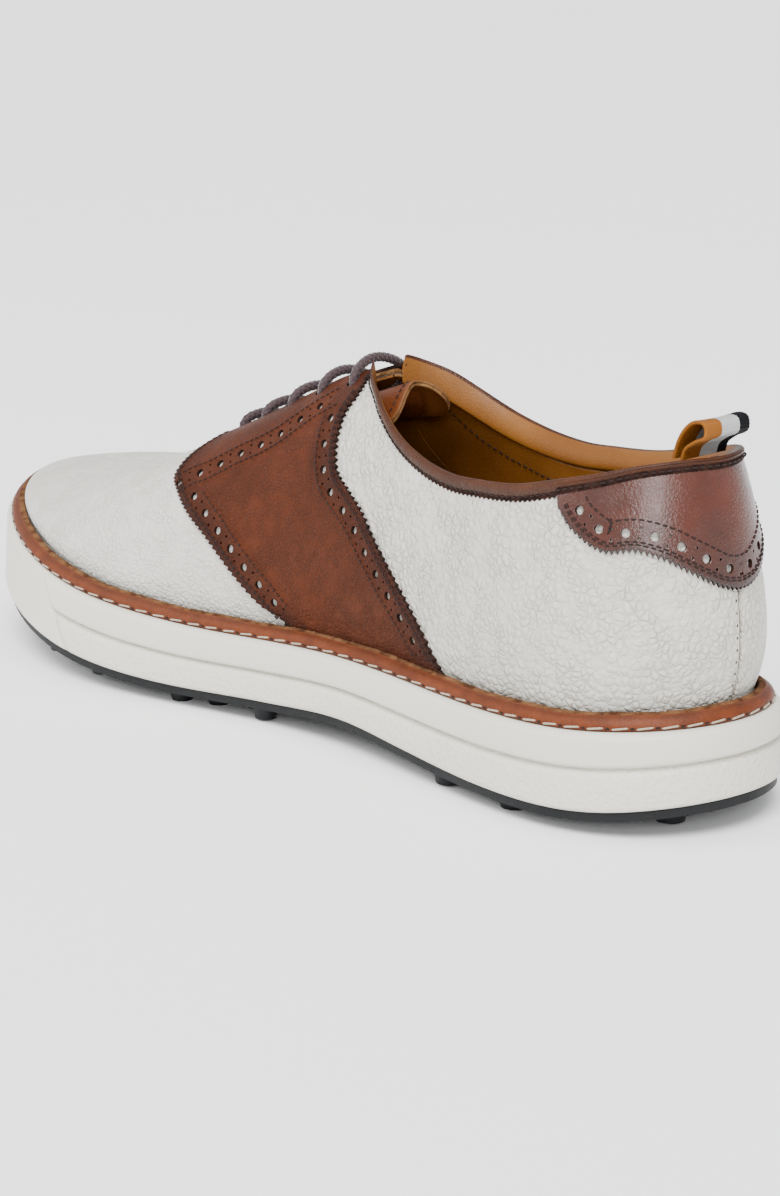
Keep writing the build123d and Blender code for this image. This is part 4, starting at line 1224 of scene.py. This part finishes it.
def perforate(piece, bands):
    made = [bandHoles(line, side, first) for line, side, first in bands]
    places, axes, radii = (np.concatenate([m[k] for m in made]) for k in range(3))
    cutHoles(piece, places, axes, radii, 0.06, 4.0, finishes["darkCut"])


frontLine = dense([(0.2445, 0.0)] + saddleFront[2:])
rearLine = dense([(0.1465, 0.0)] + saddleRear[2:])
bandLine = dense(facingBand)
frontBand = trimmed(offsetLine(frontLine, -brogue["bandMiddle"]), 0.07, 0.70)
rearBand = trimmed(offsetLine(rearLine, brogue["bandMiddle"]), 0.05, 1.07)
saddleShape = {"rows": 100}


def addSaddle(name, side):
    fill = coons(straight(saddleRear[0], saddleFront[0]), curveThrough(facingLine),
                 curveThrough(saddleRear + facingLine[:1]), curveThrough(saddleFront))
    v = np.linspace(0, 1, 4 * brogue["teeth"] + 1)
    ends = fill(np.array([[0.0, 1.0]] * len(v)), np.stack([v, v], 1))
    corner = last(side * ends[..., 0], ends[..., 1], 0.0)
    length = np.linalg.norm(corner[:, 1] - corner[:, 0], axis=-1)[None]
    u = edgeSteps(saddleShape["rows"], 0.25, 70.0)
    uu, vv = np.meshgrid(u, v, indexing="ij")
    pull = brogue["toothDepth"] * 1.25 * toothPull(vv, brogue["teeth"]) / length
    start = smooth(vv * 30) * smooth((1 - vv) * 14)
    bent = uu + pull * start * (np.exp(-uu * length / 1.3) - np.exp(-(1 - uu) * length / 1.3))
    turn, climb = np.moveaxis(fill(bent, vv), -1, 0)
    near = np.minimum(uu, 1 - uu) * length * 0.8
    drop = 0.55 - np.sqrt(np.maximum(0.55 ** 2 - np.clip(0.55 - near, 0, 0.55) ** 2, 0))
    base = last(side * turn, climb, 0.0)
    outer = last(side * turn, climb, shoe["skinOuter"] + drop + rippled(base, 9.0, 0.08))
    inner = last(side * turn, climb, shoe["skinInner"] + 0 * drop)
    top = (1 - vv) * 110
    edge = 0.95 * np.exp(-near / 1.3) + 0.28 * smooth((9.0 - near) / 1.5)
    # painted shade: the climb term below darkens a narrow band where the saddle meets the welt; the
    # other terms are its dark cut edges
    edge = edge + 0.55 * np.exp(-climb.clip(0) / 0.03) + 0.5 * np.exp(-top / 1.2)
    piece = addSlab("saddle_" + name + "_leather", outer, inner, finishes["saddleBrown"],
                    finishes["darkCut"], "brown_leather", fields={"edge": edge.clip(0, 1)})
    perforate(piece, [(frontBand, side, 0.5), (rearBand, side, 0.5), (bandLine, side, 0.15)])
    cutEyelets(piece, finishes["darkCut"])
    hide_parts("saddle_" + name)
    rows = []
    for offset in (*brogue["outerRows"], brogue["innerRow"]):
        high = 0.66 if offset > 5 else 1.3
        rows.append((trimmed(offsetLine(frontLine, -offset), 0.03, high), side, -1.32))
        high = 1.02 if offset > 5 else 1.3
        rows.append((trimmed(offsetLine(rearLine, offset), 0.03, high), side, -1.32))
    for offset in (-3.0, 3.0):
        rows.append((offsetLine(bandLine, offset), side, -1.32))
    addStitches("saddle_" + name + "_stitches", rows, brogue["stitch"],
                finishes["darkThread"], "brown_leather")


for name, side in (("medial", 1), ("lateral", -1)):
    addSaddle(name, side)
print("saddles ready")

patchShape = {"rows": 4 * 70 + 1, "columns": 56, "teeth": 70}


def addPatch():
    lower = curveThrough([(-t, c) for t, c in reversed(patchEdge)] + patchEdge[1:])
    tops = [(t, c - 0.006) for t, c in topline[:5]]
    top = curveThrough([(-t, c) for t, c in reversed(tops)] + tops[1:])
    end, corner = patchEdge[-1], tops[-1]
    fill = coons(lower, top, straight((-end[0], end[1]), (-corner[0], corner[1])),
                 straight(end, corner))
    u = np.linspace(0, 1, patchShape["rows"])
    v = edgeSteps(patchShape["columns"], 0.25, 22.0)
    uu, vv = np.meshgrid(u, v, indexing="ij")
    ends = fill(np.stack([u, u], 1), np.array([[0.0, 1.0]] * len(u)))
    height = np.linalg.norm(np.diff(last(ends[..., 0], ends[..., 1], 0.0), axis=1), axis=-1)
    pull = brogue["toothDepth"] * toothPull(uu, patchShape["teeth"]) / np.maximum(height, 4)
    bent = vv + pull * np.exp(-vv * np.maximum(height, 2) / 1.3)
    turn, climb = np.moveaxis(fill(uu, bent), -1, 0)
    near = vv * height
    drop = 0.5 - np.sqrt(np.maximum(0.25 - np.clip(0.5 - near, 0, 0.5) ** 2, 0))
    outer = last(turn, climb, shoe["skinOuter"] + drop)
    inner = last(turn, climb, shoe["skinInner"] + 0 * drop)
    edge = 0.95 * np.exp(-near / 1.3) + 0.25 * smooth((9.0 - near) / 1.5)
    piece = addSlab("heel_patch_leather", outer, inner, finishes["polishedBrown"],
                    finishes["darkCut"], "patch_leather", fields={"edge": edge.clip(0, 1)})
    line = dense(patchEdge)
    band = offsetLine(line, -brogue["bandMiddle"])
    band = band[(band[:, 0] > 0.0) & (band[:, 0] < 0.0775)]
    perforate(piece, [(band, 1, 0.5), (band, -1, 0.5)])
    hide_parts("heel_patch")
    rows = []
    for offset in (*brogue["outerRows"], brogue["innerRow"]):
        row = offsetLine(line, -offset)
        limit = np.interp(row[:, 0], *zip(*topline)) - 0.03
        row = row[(row[:, 0] > 0.0) & (row[:, 1] < limit)]
        rows += [(row, 1, -1.32), (row, -1, -1.32)]
    addStitches("heel_patch_stitches", rows, brogue["stitch"], finishes["darkThread"],
                "patch_leather")


addPatch()
print("heel patch ready")

# Collar.
collar = {
    "rows": 420,
    "length": 430.0,          # of the roll, as the rounding of its two ends reads it
    "endRound": 1.6,
    # depth and height over the topline: outer lip, round the top, inner lip
    "section": [(-1.0, -0.9), (-1.75, -0.55), (-2.05, 0.35), (-1.95, 1.3), (-1.5, 2.2),
                (-0.7, 2.9), (0.5, 3.3), (1.9, 3.4), (3.2, 3.15), (4.2, 2.5), (4.8, 1.6),
                (4.95, 0.6), (4.75, -0.3), (4.2, -0.7), (3.2, -0.2), (1.0, 0.1)],
    "innerLip": (6, 14),
    "edgingTeeth": 190,
    "stitch": {"pitch": 2.1, "length": 1.6, "radius": 0.27},
    "liningStitch": {"pitch": 2.3, "length": 1.7, "radius": 0.24},
}


def alongTopline(u, depth, height):
    # a point beside the topline, from the outer side's end round the heel to the inner side's
    half = curveThrough(topline)(np.abs(u - 0.5) * 2)
    turn = np.where(u < 0.5, -half[..., 0], half[..., 0])
    point = last(turn, half[..., 1], depth)
    point[..., 2] = point[..., 2] + height
    return point


def addBinding():
    section = np.array(collar["section"])
    u = np.linspace(0, 1, collar["rows"])
    uu, _ = np.meshgrid(u, section[:, 0], indexing="ij")
    end = np.clip(np.minimum(uu, 1 - uu) * collar["length"] / collar["endRound"],
                  0, 1)
    close = np.sqrt(1 - (1 - end) ** 2)
    middle = section.mean(0)
    depth = middle[0] + (section[:, 0] - middle[0]) * close
    height = middle[1] + (section[:, 1] - middle[1]) * close
    height = height * (0.72 + 0.28 * smooth((np.abs(uu - 0.5) * 2 - 0.12) / 0.25))
    points = alongTopline(uu, depth, height)
    pucker = 0.10 * np.sin(uu * 2 * np.pi * 205) * np.exp(-((height + 0.6) / 0.8) ** 2)
    points[..., 2] = points[..., 2] + pucker
    faces = gridQuads(len(u), len(section), False, True)
    column = faces[:, 0] % len(section)
    raw = ((column >= collar["innerLip"][0]) & (column < collar["innerLip"][1])).astype(int)
    piece = addPiece("collar_roll", points, faces,
                     [finishes["bindingBrown"], finishes["tanLining"]], "binding_leather",
                     fields={"edge": 0.7 * np.exp(-(height + 0.9).clip(0) / 0.6)},
                     faceMaterial=raw)
    weld(piece)
    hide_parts("collar_binding")


def addEdging():
    # narrow pinked strip under the roll, lying on the quarters and lifted over the heel patch
    u = np.linspace(0, 1, 4 * collar["edgingTeeth"] + 1)
    v = np.array([0.0, 0.25, 0.6, 1.0])
    uu, vv = np.meshgrid(u, v, indexing="ij")
    tooth = toothPull(uu, collar["edgingTeeth"])
    half = curveThrough(topline)(np.abs(uu - 0.5) * 2)
    lift = 1.25 * (1 - smooth((half[..., 0] - 0.084) / 0.006))
    low = -2.3 + 0.75 * tooth
    height = low + (0.9 - low) * vv
    outer = alongTopline(uu, -0.75 - lift + 0.15 * (1 - vv), height)
    inner = alongTopline(uu, -0.1 - lift, height)
    addSlab("collar_edging", outer, inner, finishes["darkCut"], finishes["darkCut"],
            "binding_leather")


def liningDepth(turn, climb):
    # deep over the counter and the collar's foam, close to the leather at the throat
    return shoe["leather"] + shoe["layerGap"] + shoe["counterRoom"] \
        * (1 - smooth((climb - 0.75) / 0.35)) * (1 - smooth((turn - 0.20) / 0.08))


def puffedDepth(turn, climb):
    # the lining's inner face, pushed in by the soft roll behind the collar
    edge = np.interp(turn, *zip(*topline))
    roll = np.exp(-((edge - climb - 0.13) / 0.085) ** 2)
    return liningDepth(turn, climb) + shoe["lining"] + 0.9 * roll * (1 - smooth(
        (turn - 0.15) / 0.03))


def addLining(name, side):
    u = edgeSteps(150, 0.3, upper["quarterLength"])
    v = np.linspace(0, 1, 90)
    uu, vv = np.meshgrid(u, v, indexing="ij")
    turn, climb = np.moveaxis(quarterFill(upper["backSeam"], 0.012)(uu, vv), -1, 0)
    outer = last(side * turn, climb, liningDepth(turn, climb))
    inner = last(side * turn, climb, puffedDepth(turn, climb))
    # painted shade: the lining darkens towards its foot, deep inside the shoe
    edge = 0.8 * np.exp(-(climb + 0.1) / 0.12)
    piece = addSlab("lining_" + name + "_leather", outer, inner, finishes["tanLining"],
                    finishes["paleCut"], "tan_leather", fields={"edge": edge.clip(0, 1)})
    cutEyelets(piece, finishes["paleCut"])
    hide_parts("quarter_lining_" + name)


addBinding()
addEdging()
collarLine = dense(topline)
for name, side in (("medial", 1), ("lateral", -1)):
    addLining(name, side)
under = offsetLine(collarLine, 0.75)
heelPart, sidePart = under[under[:, 0] < 0.086], under[under[:, 0] >= 0.086]
addStitches("collar_stitches", [(heelPart, 1, -2.05), (heelPart, -1, -2.05),
                                (sidePart, 1, -0.8), (sidePart, -1, -0.8)],
            collar["stitch"], finishes["darkThread"], "binding_leather")
print("collar and lining ready")


def insideRow(name, line, values, depth, slot):
    # stitches on an inner face: the normal turned to the inside of the shoe
    template, triangles = capsule(values["length"], values["radius"])
    parts = []
    for side in (1, -1):
        spots = spacedOn(line, values["pitch"], side, 0.0)
        turn, climb = spots["line"][:, 0], spots["line"][:, 1]
        place = last(side * turn, climb, depth(turn, climb))
        points, faces = instances(template, triangles, (place, spots["along"], spots["across"],
                                                        -spots["normal"]))
        parts.append((points, faces[:, ::-1]))
    return addPiece(name, *joined(parts), [finishes["darkThread"]], slot)


insideRow("lining_stitches", offsetLine(collarLine, 7.5), collar["liningStitch"],
          puffedDepth, "tan_leather")

# Tongue.
tongue = {
    "depth": 6.9,
    "front": 0.335,
    "back": 0.200,
    "cornerRound": 0.013,     # how much the top corners fall back, in turn
    "sides": [(0.200, 0.98), (0.24, 1.08), (0.29, 1.15), (0.335, 1.20)],
    "rows": 90,
    "columns": 70,
    "stitch": {"pitch": 2.2, "length": 1.6, "radius": 0.26},
    "padMiddle": 0.226,
    "padLength": 0.020,
    "padWidth": 0.72,
    "padHeight": 1.3,
    "foam": 2.7,              # how far the foam holds the two leathers apart
    "taper": 7.0,             # and the width over which it thins out to the edge
}


def tonguePlace(u, w, depth, reach=0.0):
    # u runs from the throat to the free end, w from -1 over the ridge to 1; the free end's
    # corners fall back by w^8
    back = tongue["back"] + reach + tongue["cornerRound"] * w ** 8
    turn = tongue["front"] - reach + (back - tongue["front"] + reach) * u
    low = np.interp(turn, *zip(*tongue["sides"])) + reach * 4
    climb = np.pi / 2 - (np.pi / 2 - low) * np.abs(w)
    return last(np.where(w < 0, -turn, turn), climb, depth), turn, climb


def addTongue():
    u = edgeSteps(tongue["rows"], 0.2, 90.0)
    w = 2 * edgeSteps(tongue["columns"], 0.2, 50.0) - 1
    uu, ww = np.meshgrid(u, w, indexing="ij")
    outerDepth = tongue["depth"] + rounding(uu, 90.0, 0.4)
    outer = tonguePlace(uu, ww, outerDepth)[0]
    inner = tonguePlace(uu, ww, tongue["depth"] + 1.0 + 0 * uu)[0]
    rim = np.minimum((1 - uu) * 90, (1 - np.abs(ww)) * 25)
    edge = {"edge": np.clip(np.exp(-rim / 0.9), 0, 1)}
    piece = addSlab("tongue_leather", outer, inner, finishes["tongueBrown"],
                    finishes["paleCut"], "brown_leather", "tongue_flap", edge)
    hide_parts("tongue")
    # the lining, swollen by its foam inside an oval
    turn = tonguePlace(uu, ww, 0 * uu)[1]
    oval = ((turn - tongue["padMiddle"]) / tongue["padLength"]) ** 2 \
        + (ww / tongue["padWidth"]) ** 2
    swell = tongue["padHeight"] * smooth((1.25 - oval) / 0.9)
    seam = 0.5 * np.exp(-((oval - 1.25) / 0.10) ** 2)
    fat = 1.1 + tongue["foam"] * smooth(rim / tongue["taper"])
    outer = tonguePlace(uu, ww, tongue["depth"] + fat)[0]
    inner = tonguePlace(uu, ww, tongue["depth"] + fat + 0.8 + swell - seam)[0]
    points, faces, isRim = slabArrays(outer, inner)
    count = uu.size
    isOval = (oval < 1.25).ravel()
    padded = (faces[:, 0] >= count) & isOval[faces[:, 0] % count] & (isRim == 0)
    lining = addPiece("tongue_padding", points, faces,
                      [finishes["tongueLining"], finishes["paleCut"], finishes["tongueBrown"]],
                      "tan_leather", "tongue_flap",
                      fields={"edge": np.r_[0 * oval.ravel(), 0.3 * isOval]},
                      faceMaterial=np.where(padded, 2, isRim))
    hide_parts("tongue_lining", "tongue_foam")
    addTongueStitches()


def addTongueStitches():
    template, triangles = capsule(tongue["stitch"]["length"], tongue["stitch"]["radius"])
    w = np.linspace(-0.93, 0.93, 600)
    parts = []
    for depth, flip in ((tongue["depth"] - 0.02, 1), (tongue["depth"] + 2.15, -1)):
        line = tonguePlace(np.full_like(w, 0.965), w, depth)[0]
        run = np.r_[0, np.cumsum(np.linalg.norm(np.diff(line, axis=0), axis=1))]
        count = int(run[-1] / tongue["stitch"]["pitch"])
        at = (np.arange(count) + 0.5) * run[-1] / count
        place = np.stack([np.interp(at, run, c) for c in line.T], -1)
        along = unit(np.stack([np.interp(at, run, c) for c in np.gradient(line, axis=0).T], -1))
        above = tonguePlace(np.full_like(w, 0.965), w, depth - 1.0)[0] - line
        normal = np.stack([np.interp(at, run, c) for c in above.T], -1)
        normal = unit(normal - along * (normal * along).sum(-1, keepdims=True)) * flip
        parts.append(instances(template, triangles, (place, along, np.cross(normal, along),
                                                     normal)))
    addPiece("tongue_stitches", *joined(parts), [finishes["darkThread"]], "brown_leather",
             "tongue_flap")


addTongue()
print("tongue ready")


# Lace.
def laceRoute():
    # bars straight over the throat one after another, both ends tucked down beside the tongue
    rows = list(reversed(laces["rows"]))
    side = -1
    route = [besideEyelet(rows[0], side, *spot) for spot in reversed(laces["tucks"])]
    for x in rows:
        crown = last(np.array(turnAtSpine(x)), np.array(math.pi / 2), np.array(-laces["crown"]))
        route += [besideEyelet(x, side, 0.0, laces["under"]),
                  besideEyelet(x, side, 0.0, -laces["over"]), crown,
                  besideEyelet(x, -side, 0.0, -laces["over"]),
                  besideEyelet(x, -side, 0.0, laces["under"])]
        side = -side
    route += [besideEyelet(rows[-1], side, *spot) for spot in laces["tucks"]]
    return np.array(route)


def nurbsLine(points, fineness=24):
    # the smooth line that the points control, as Blender gives it
    curve = bpy.data.curves.new("line", "CURVE")
    curve.dimensions = "3D"
    spline = curve.splines.new("NURBS")
    spline.points.add(len(points) - 1)
    spline.points.foreach_set("co", np.c_[points, np.ones(len(points))].ravel())
    spline.order_u = 3
    spline.use_endpoint_u = True
    curve.resolution_u = fineness
    carrier = bpy.data.objects.new("line", curve)
    bpy.context.scene.collection.objects.link(carrier)
    bpy.context.view_layer.update()
    mesh = bpy.data.meshes.new_from_object(
        carrier.evaluated_get(bpy.context.evaluated_depsgraph_get()))
    made = np.zeros(len(mesh.vertices) * 3, np.float32)
    mesh.vertices.foreach_get("co", made)
    bpy.data.objects.remove(carrier)
    bpy.data.meshes.remove(mesh)
    return made.reshape(-1, 3).astype(float)


def evenly(line, step):
    # the same line read at even distances
    run = np.r_[0, np.cumsum(np.linalg.norm(np.diff(line, axis=0), axis=1))]
    at = np.linspace(0, run[-1], int(run[-1] / step) + 1)
    return np.stack([np.interp(at, run, c) for c in line.T], -1), run[-1]


def carriedFrames(line):
    # a side direction carried along the line without twisting
    along = unit(np.gradient(line, axis=0))
    side = np.zeros_like(line)
    current = unit(np.cross(along[0], np.array([0.2, 0.1, 1.0])))
    for k, direction in enumerate(along):
        current = current - direction * np.dot(current, direction)
        current = current / np.linalg.norm(current)
        side[k] = current
    return along, side, np.cross(along, side)


def addLace():
    line, length = evenly(nurbsLine(laceRoute()), laces["step"])
    _, side, other = carriedFrames(line)
    around = laces["around"]
    angle = np.arange(around) * 2 * np.pi / around
    run = np.arange(len(line)) * laces["step"]
    ss, aa = np.meshgrid(run, angle, indexing="ij")
    # strands wind both ways round the cord; where they cross, they take turns on top
    turnRate = 2 * np.pi / laces["twistLength"]
    one = laces["strands"] * (aa + ss * turnRate)
    two = laces["strands"] * (aa - ss * turnRate)
    above = np.maximum(np.cos(one / 2) ** 2 * (0.6 + 0.4 * np.sin(two)),
                       np.cos(two / 2) ** 2 * (0.6 - 0.4 * np.sin(one)))
    radius = laces["radius"] * (1 - laces["relief"]) + laces["radius"] * laces["relief"] * above
    end = np.clip(np.minimum(ss, run[-1] - ss) / 0.9, 0, 1)
    radius = radius * np.sqrt(1 - (1 - end) ** 2)
    points = line[:, None] + (side[:, None] * np.cos(aa)[..., None]
                              + other[:, None] * np.sin(aa)[..., None]) * radius[..., None]
    rows = len(line)
    # the strands' height also goes to the cord's finish as painted shade on the low strands
    piece = addPiece("woven_lace", points, gridQuads(rows, around, False, True),
                     [finishes["laceCord"]], "lace_cord",
                     uv=gridUv(rows, around, (length / 10, 1.0), False, True),
                     fields={"strandShade": above})
    weld(piece)
    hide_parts("lace")
    print("   lace", round(length, 1), "mm long")


addLace()
print("lace ready")

# Pull tab.
pullTab = {
    "foot": (-128.9, 95.2),
    "loop": [(1.2, 0), (-0.2, 4.2), (-2.4, 7.6), (-5.0, 9.6), (-8.2, 9.5), (-8.6, 7.2),
             (-5.0, 4.9), (-2.2, 2.5), (-1.4, 0)],
    "width": 17.0,
    "thickness": 0.9,
    "ribPitch": 0.75,
    "ribHeight": 0.07,
    "step": 0.19,             # length of ribbon between two rows of points
}


def addPullTab():
    loop = curveThrough([(pullTab["foot"][0] + x, pullTab["foot"][1] + z)
                         for x, z in pullTab["loop"]], (1.0, 1.0))
    line, _ = evenly(loop(np.linspace(0, 1, 400)), pullTab["step"])
    along = unit(np.gradient(line, axis=0))
    out = np.stack([-along[:, 1], along[:, 0]], -1)
    rows = len(line)
    across = np.linspace(-0.5, 0.5, 46)
    rib = pullTab["ribHeight"] * np.sin(2 * np.pi * np.arange(rows) * pullTab["step"]
                                        / pullTab["ribPitch"])[:, None]
    selvedge = 0.12 * np.exp(-(0.5 - np.abs(across)) * pullTab["width"] / 0.5)
    half = pullTab["thickness"] / 2 * (1 - 0.5 * np.exp(
        -(0.5 - np.abs(across)) * pullTab["width"] / 0.22))
    cup = 0.35 * (np.abs(across) * 2) ** 2 * np.sin(np.pi * np.linspace(0, 1, rows))[:, None]
    grids = []
    for sign in (1, -1):
        offset = sign * (half + rib + selvedge) - cup
        x = line[:, :1] + out[:, :1] * offset
        z = line[:, 1:] + out[:, 1:] * offset
        y = np.broadcast_to(across * pullTab["width"], x.shape)
        grids.append(np.stack([x, y, z], -1))
    points, faces, _ = slabArrays(*grids)
    count = rows * len(across)
    flat = np.arange(2 * count) % count
    u = (flat // len(across)) * pullTab["step"] / 10
    v = (flat % len(across)) / (len(across) - 1)
    uv = np.stack([u, v], -1)[faces]
    piece = addPiece("ribbon_loop", points, faces, [finishes["ribbon"]], "ribbon", "pull_loop",
                     uv=uv)
    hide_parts("pull_tab")


addPullTab()
print("pull tab ready")

# Footbed.
footbed = {
    "rows": 300,
    "inset": 13.4,
    "foam": (2.4, 5.75),
    "cover": (5.85, 6.65),
    "cup": 1.3,               # rise towards the rim
    "sink": 0.7,              # hollow under the heel
}


def padPoints(low, high, inset, edgeRound):
    # rings from the underside's middle line out to the rim and back over the top
    turn = np.linspace(0, 1, footbed["rows"], endpoint=False)
    inward = np.r_[np.linspace(1, 0.12, 9), 0.05, 0.01, 0.0, 0.0, 0.01, 0.05,
                   np.linspace(0.12, 1, 22)]
    level = np.r_[np.zeros(9), 0.0, 0.05, 0.3, 0.7, 0.95, 1.0, np.ones(22)]
    tt, kk = np.meshgrid(turn, np.arange(len(inward)), indexing="ij")
    place, outward = footprint(tt)
    rim = place - outward * inset
    medial, medialOut = footprint(np.minimum(tt % 1, (-tt) % 1))
    spineX = (medial - medialOut * inset)[..., 0] * 0.80
    spine = np.stack([spineX, 1.5 - 2.0 * np.clip(spineX / 110, 0, 1)], -1)
    share = inward[kk]
    flat = rim + (spine - rim) * share[..., None]
    height = low + (high - low) * level[kk]
    top = level[kk] > 0.5
    soft = footbed["cup"] * (1 - smooth(share / 0.6)) - footbed["sink"] * smooth(share) \
        * smooth((-flat[..., 0] - 40) / 40)
    lift = np.where(top | (low > 5), soft, 0.0) - np.where(top, edgeRound * (share < 0.06), 0)
    z = topZ(flat[..., 0]) + height + lift
    return np.concatenate([flat, z[..., None]], -1)


def addFootbed():
    for name, node, finish, slot, rounded in (
            ("footbed_cushion", "foam", "foam", "foam", 0.1),
            ("footbed_leather", "cover", "tanLining", "tan_leather", 0.25)):
        points = padPoints(*footbed[node], footbed["inset"], rounded)
        rows, columns = points.shape[:2]
        piece = addPiece(name, points, gridQuads(rows, columns, True, False),
                         [finishes[finish]], slot, "footbed",
                         fields={"edge": np.zeros(rows * columns)})
        weld(piece, 3e-5)
        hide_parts("footbed_" + node)


addFootbed()
print("footbed ready")

# Finishes of the design's own pieces.
nodeFinishes = {
    "outsole": "soleRubber", "cushion_insert": "foam", "shank": "steel",
    "insole_board": "board", "vamp_lining": "tanLining", "toe_puff": "board",
    "heel_counter": "board", "collar_foam_medial": "foam", "collar_foam_lateral": "foam",
    "facing_stay_medial": "board", "facing_stay_lateral": "board",
    "aglets": "agletPlastic", "pull_tab_anchor": "ribbon",
}
for name, finish in nodeFinishes.items():
    nodes[name].data.materials.clear()
    nodes[name].data.materials.append(finishes[finish])
print("finishes given to", len(nodeFinishes), "pieces of the design")
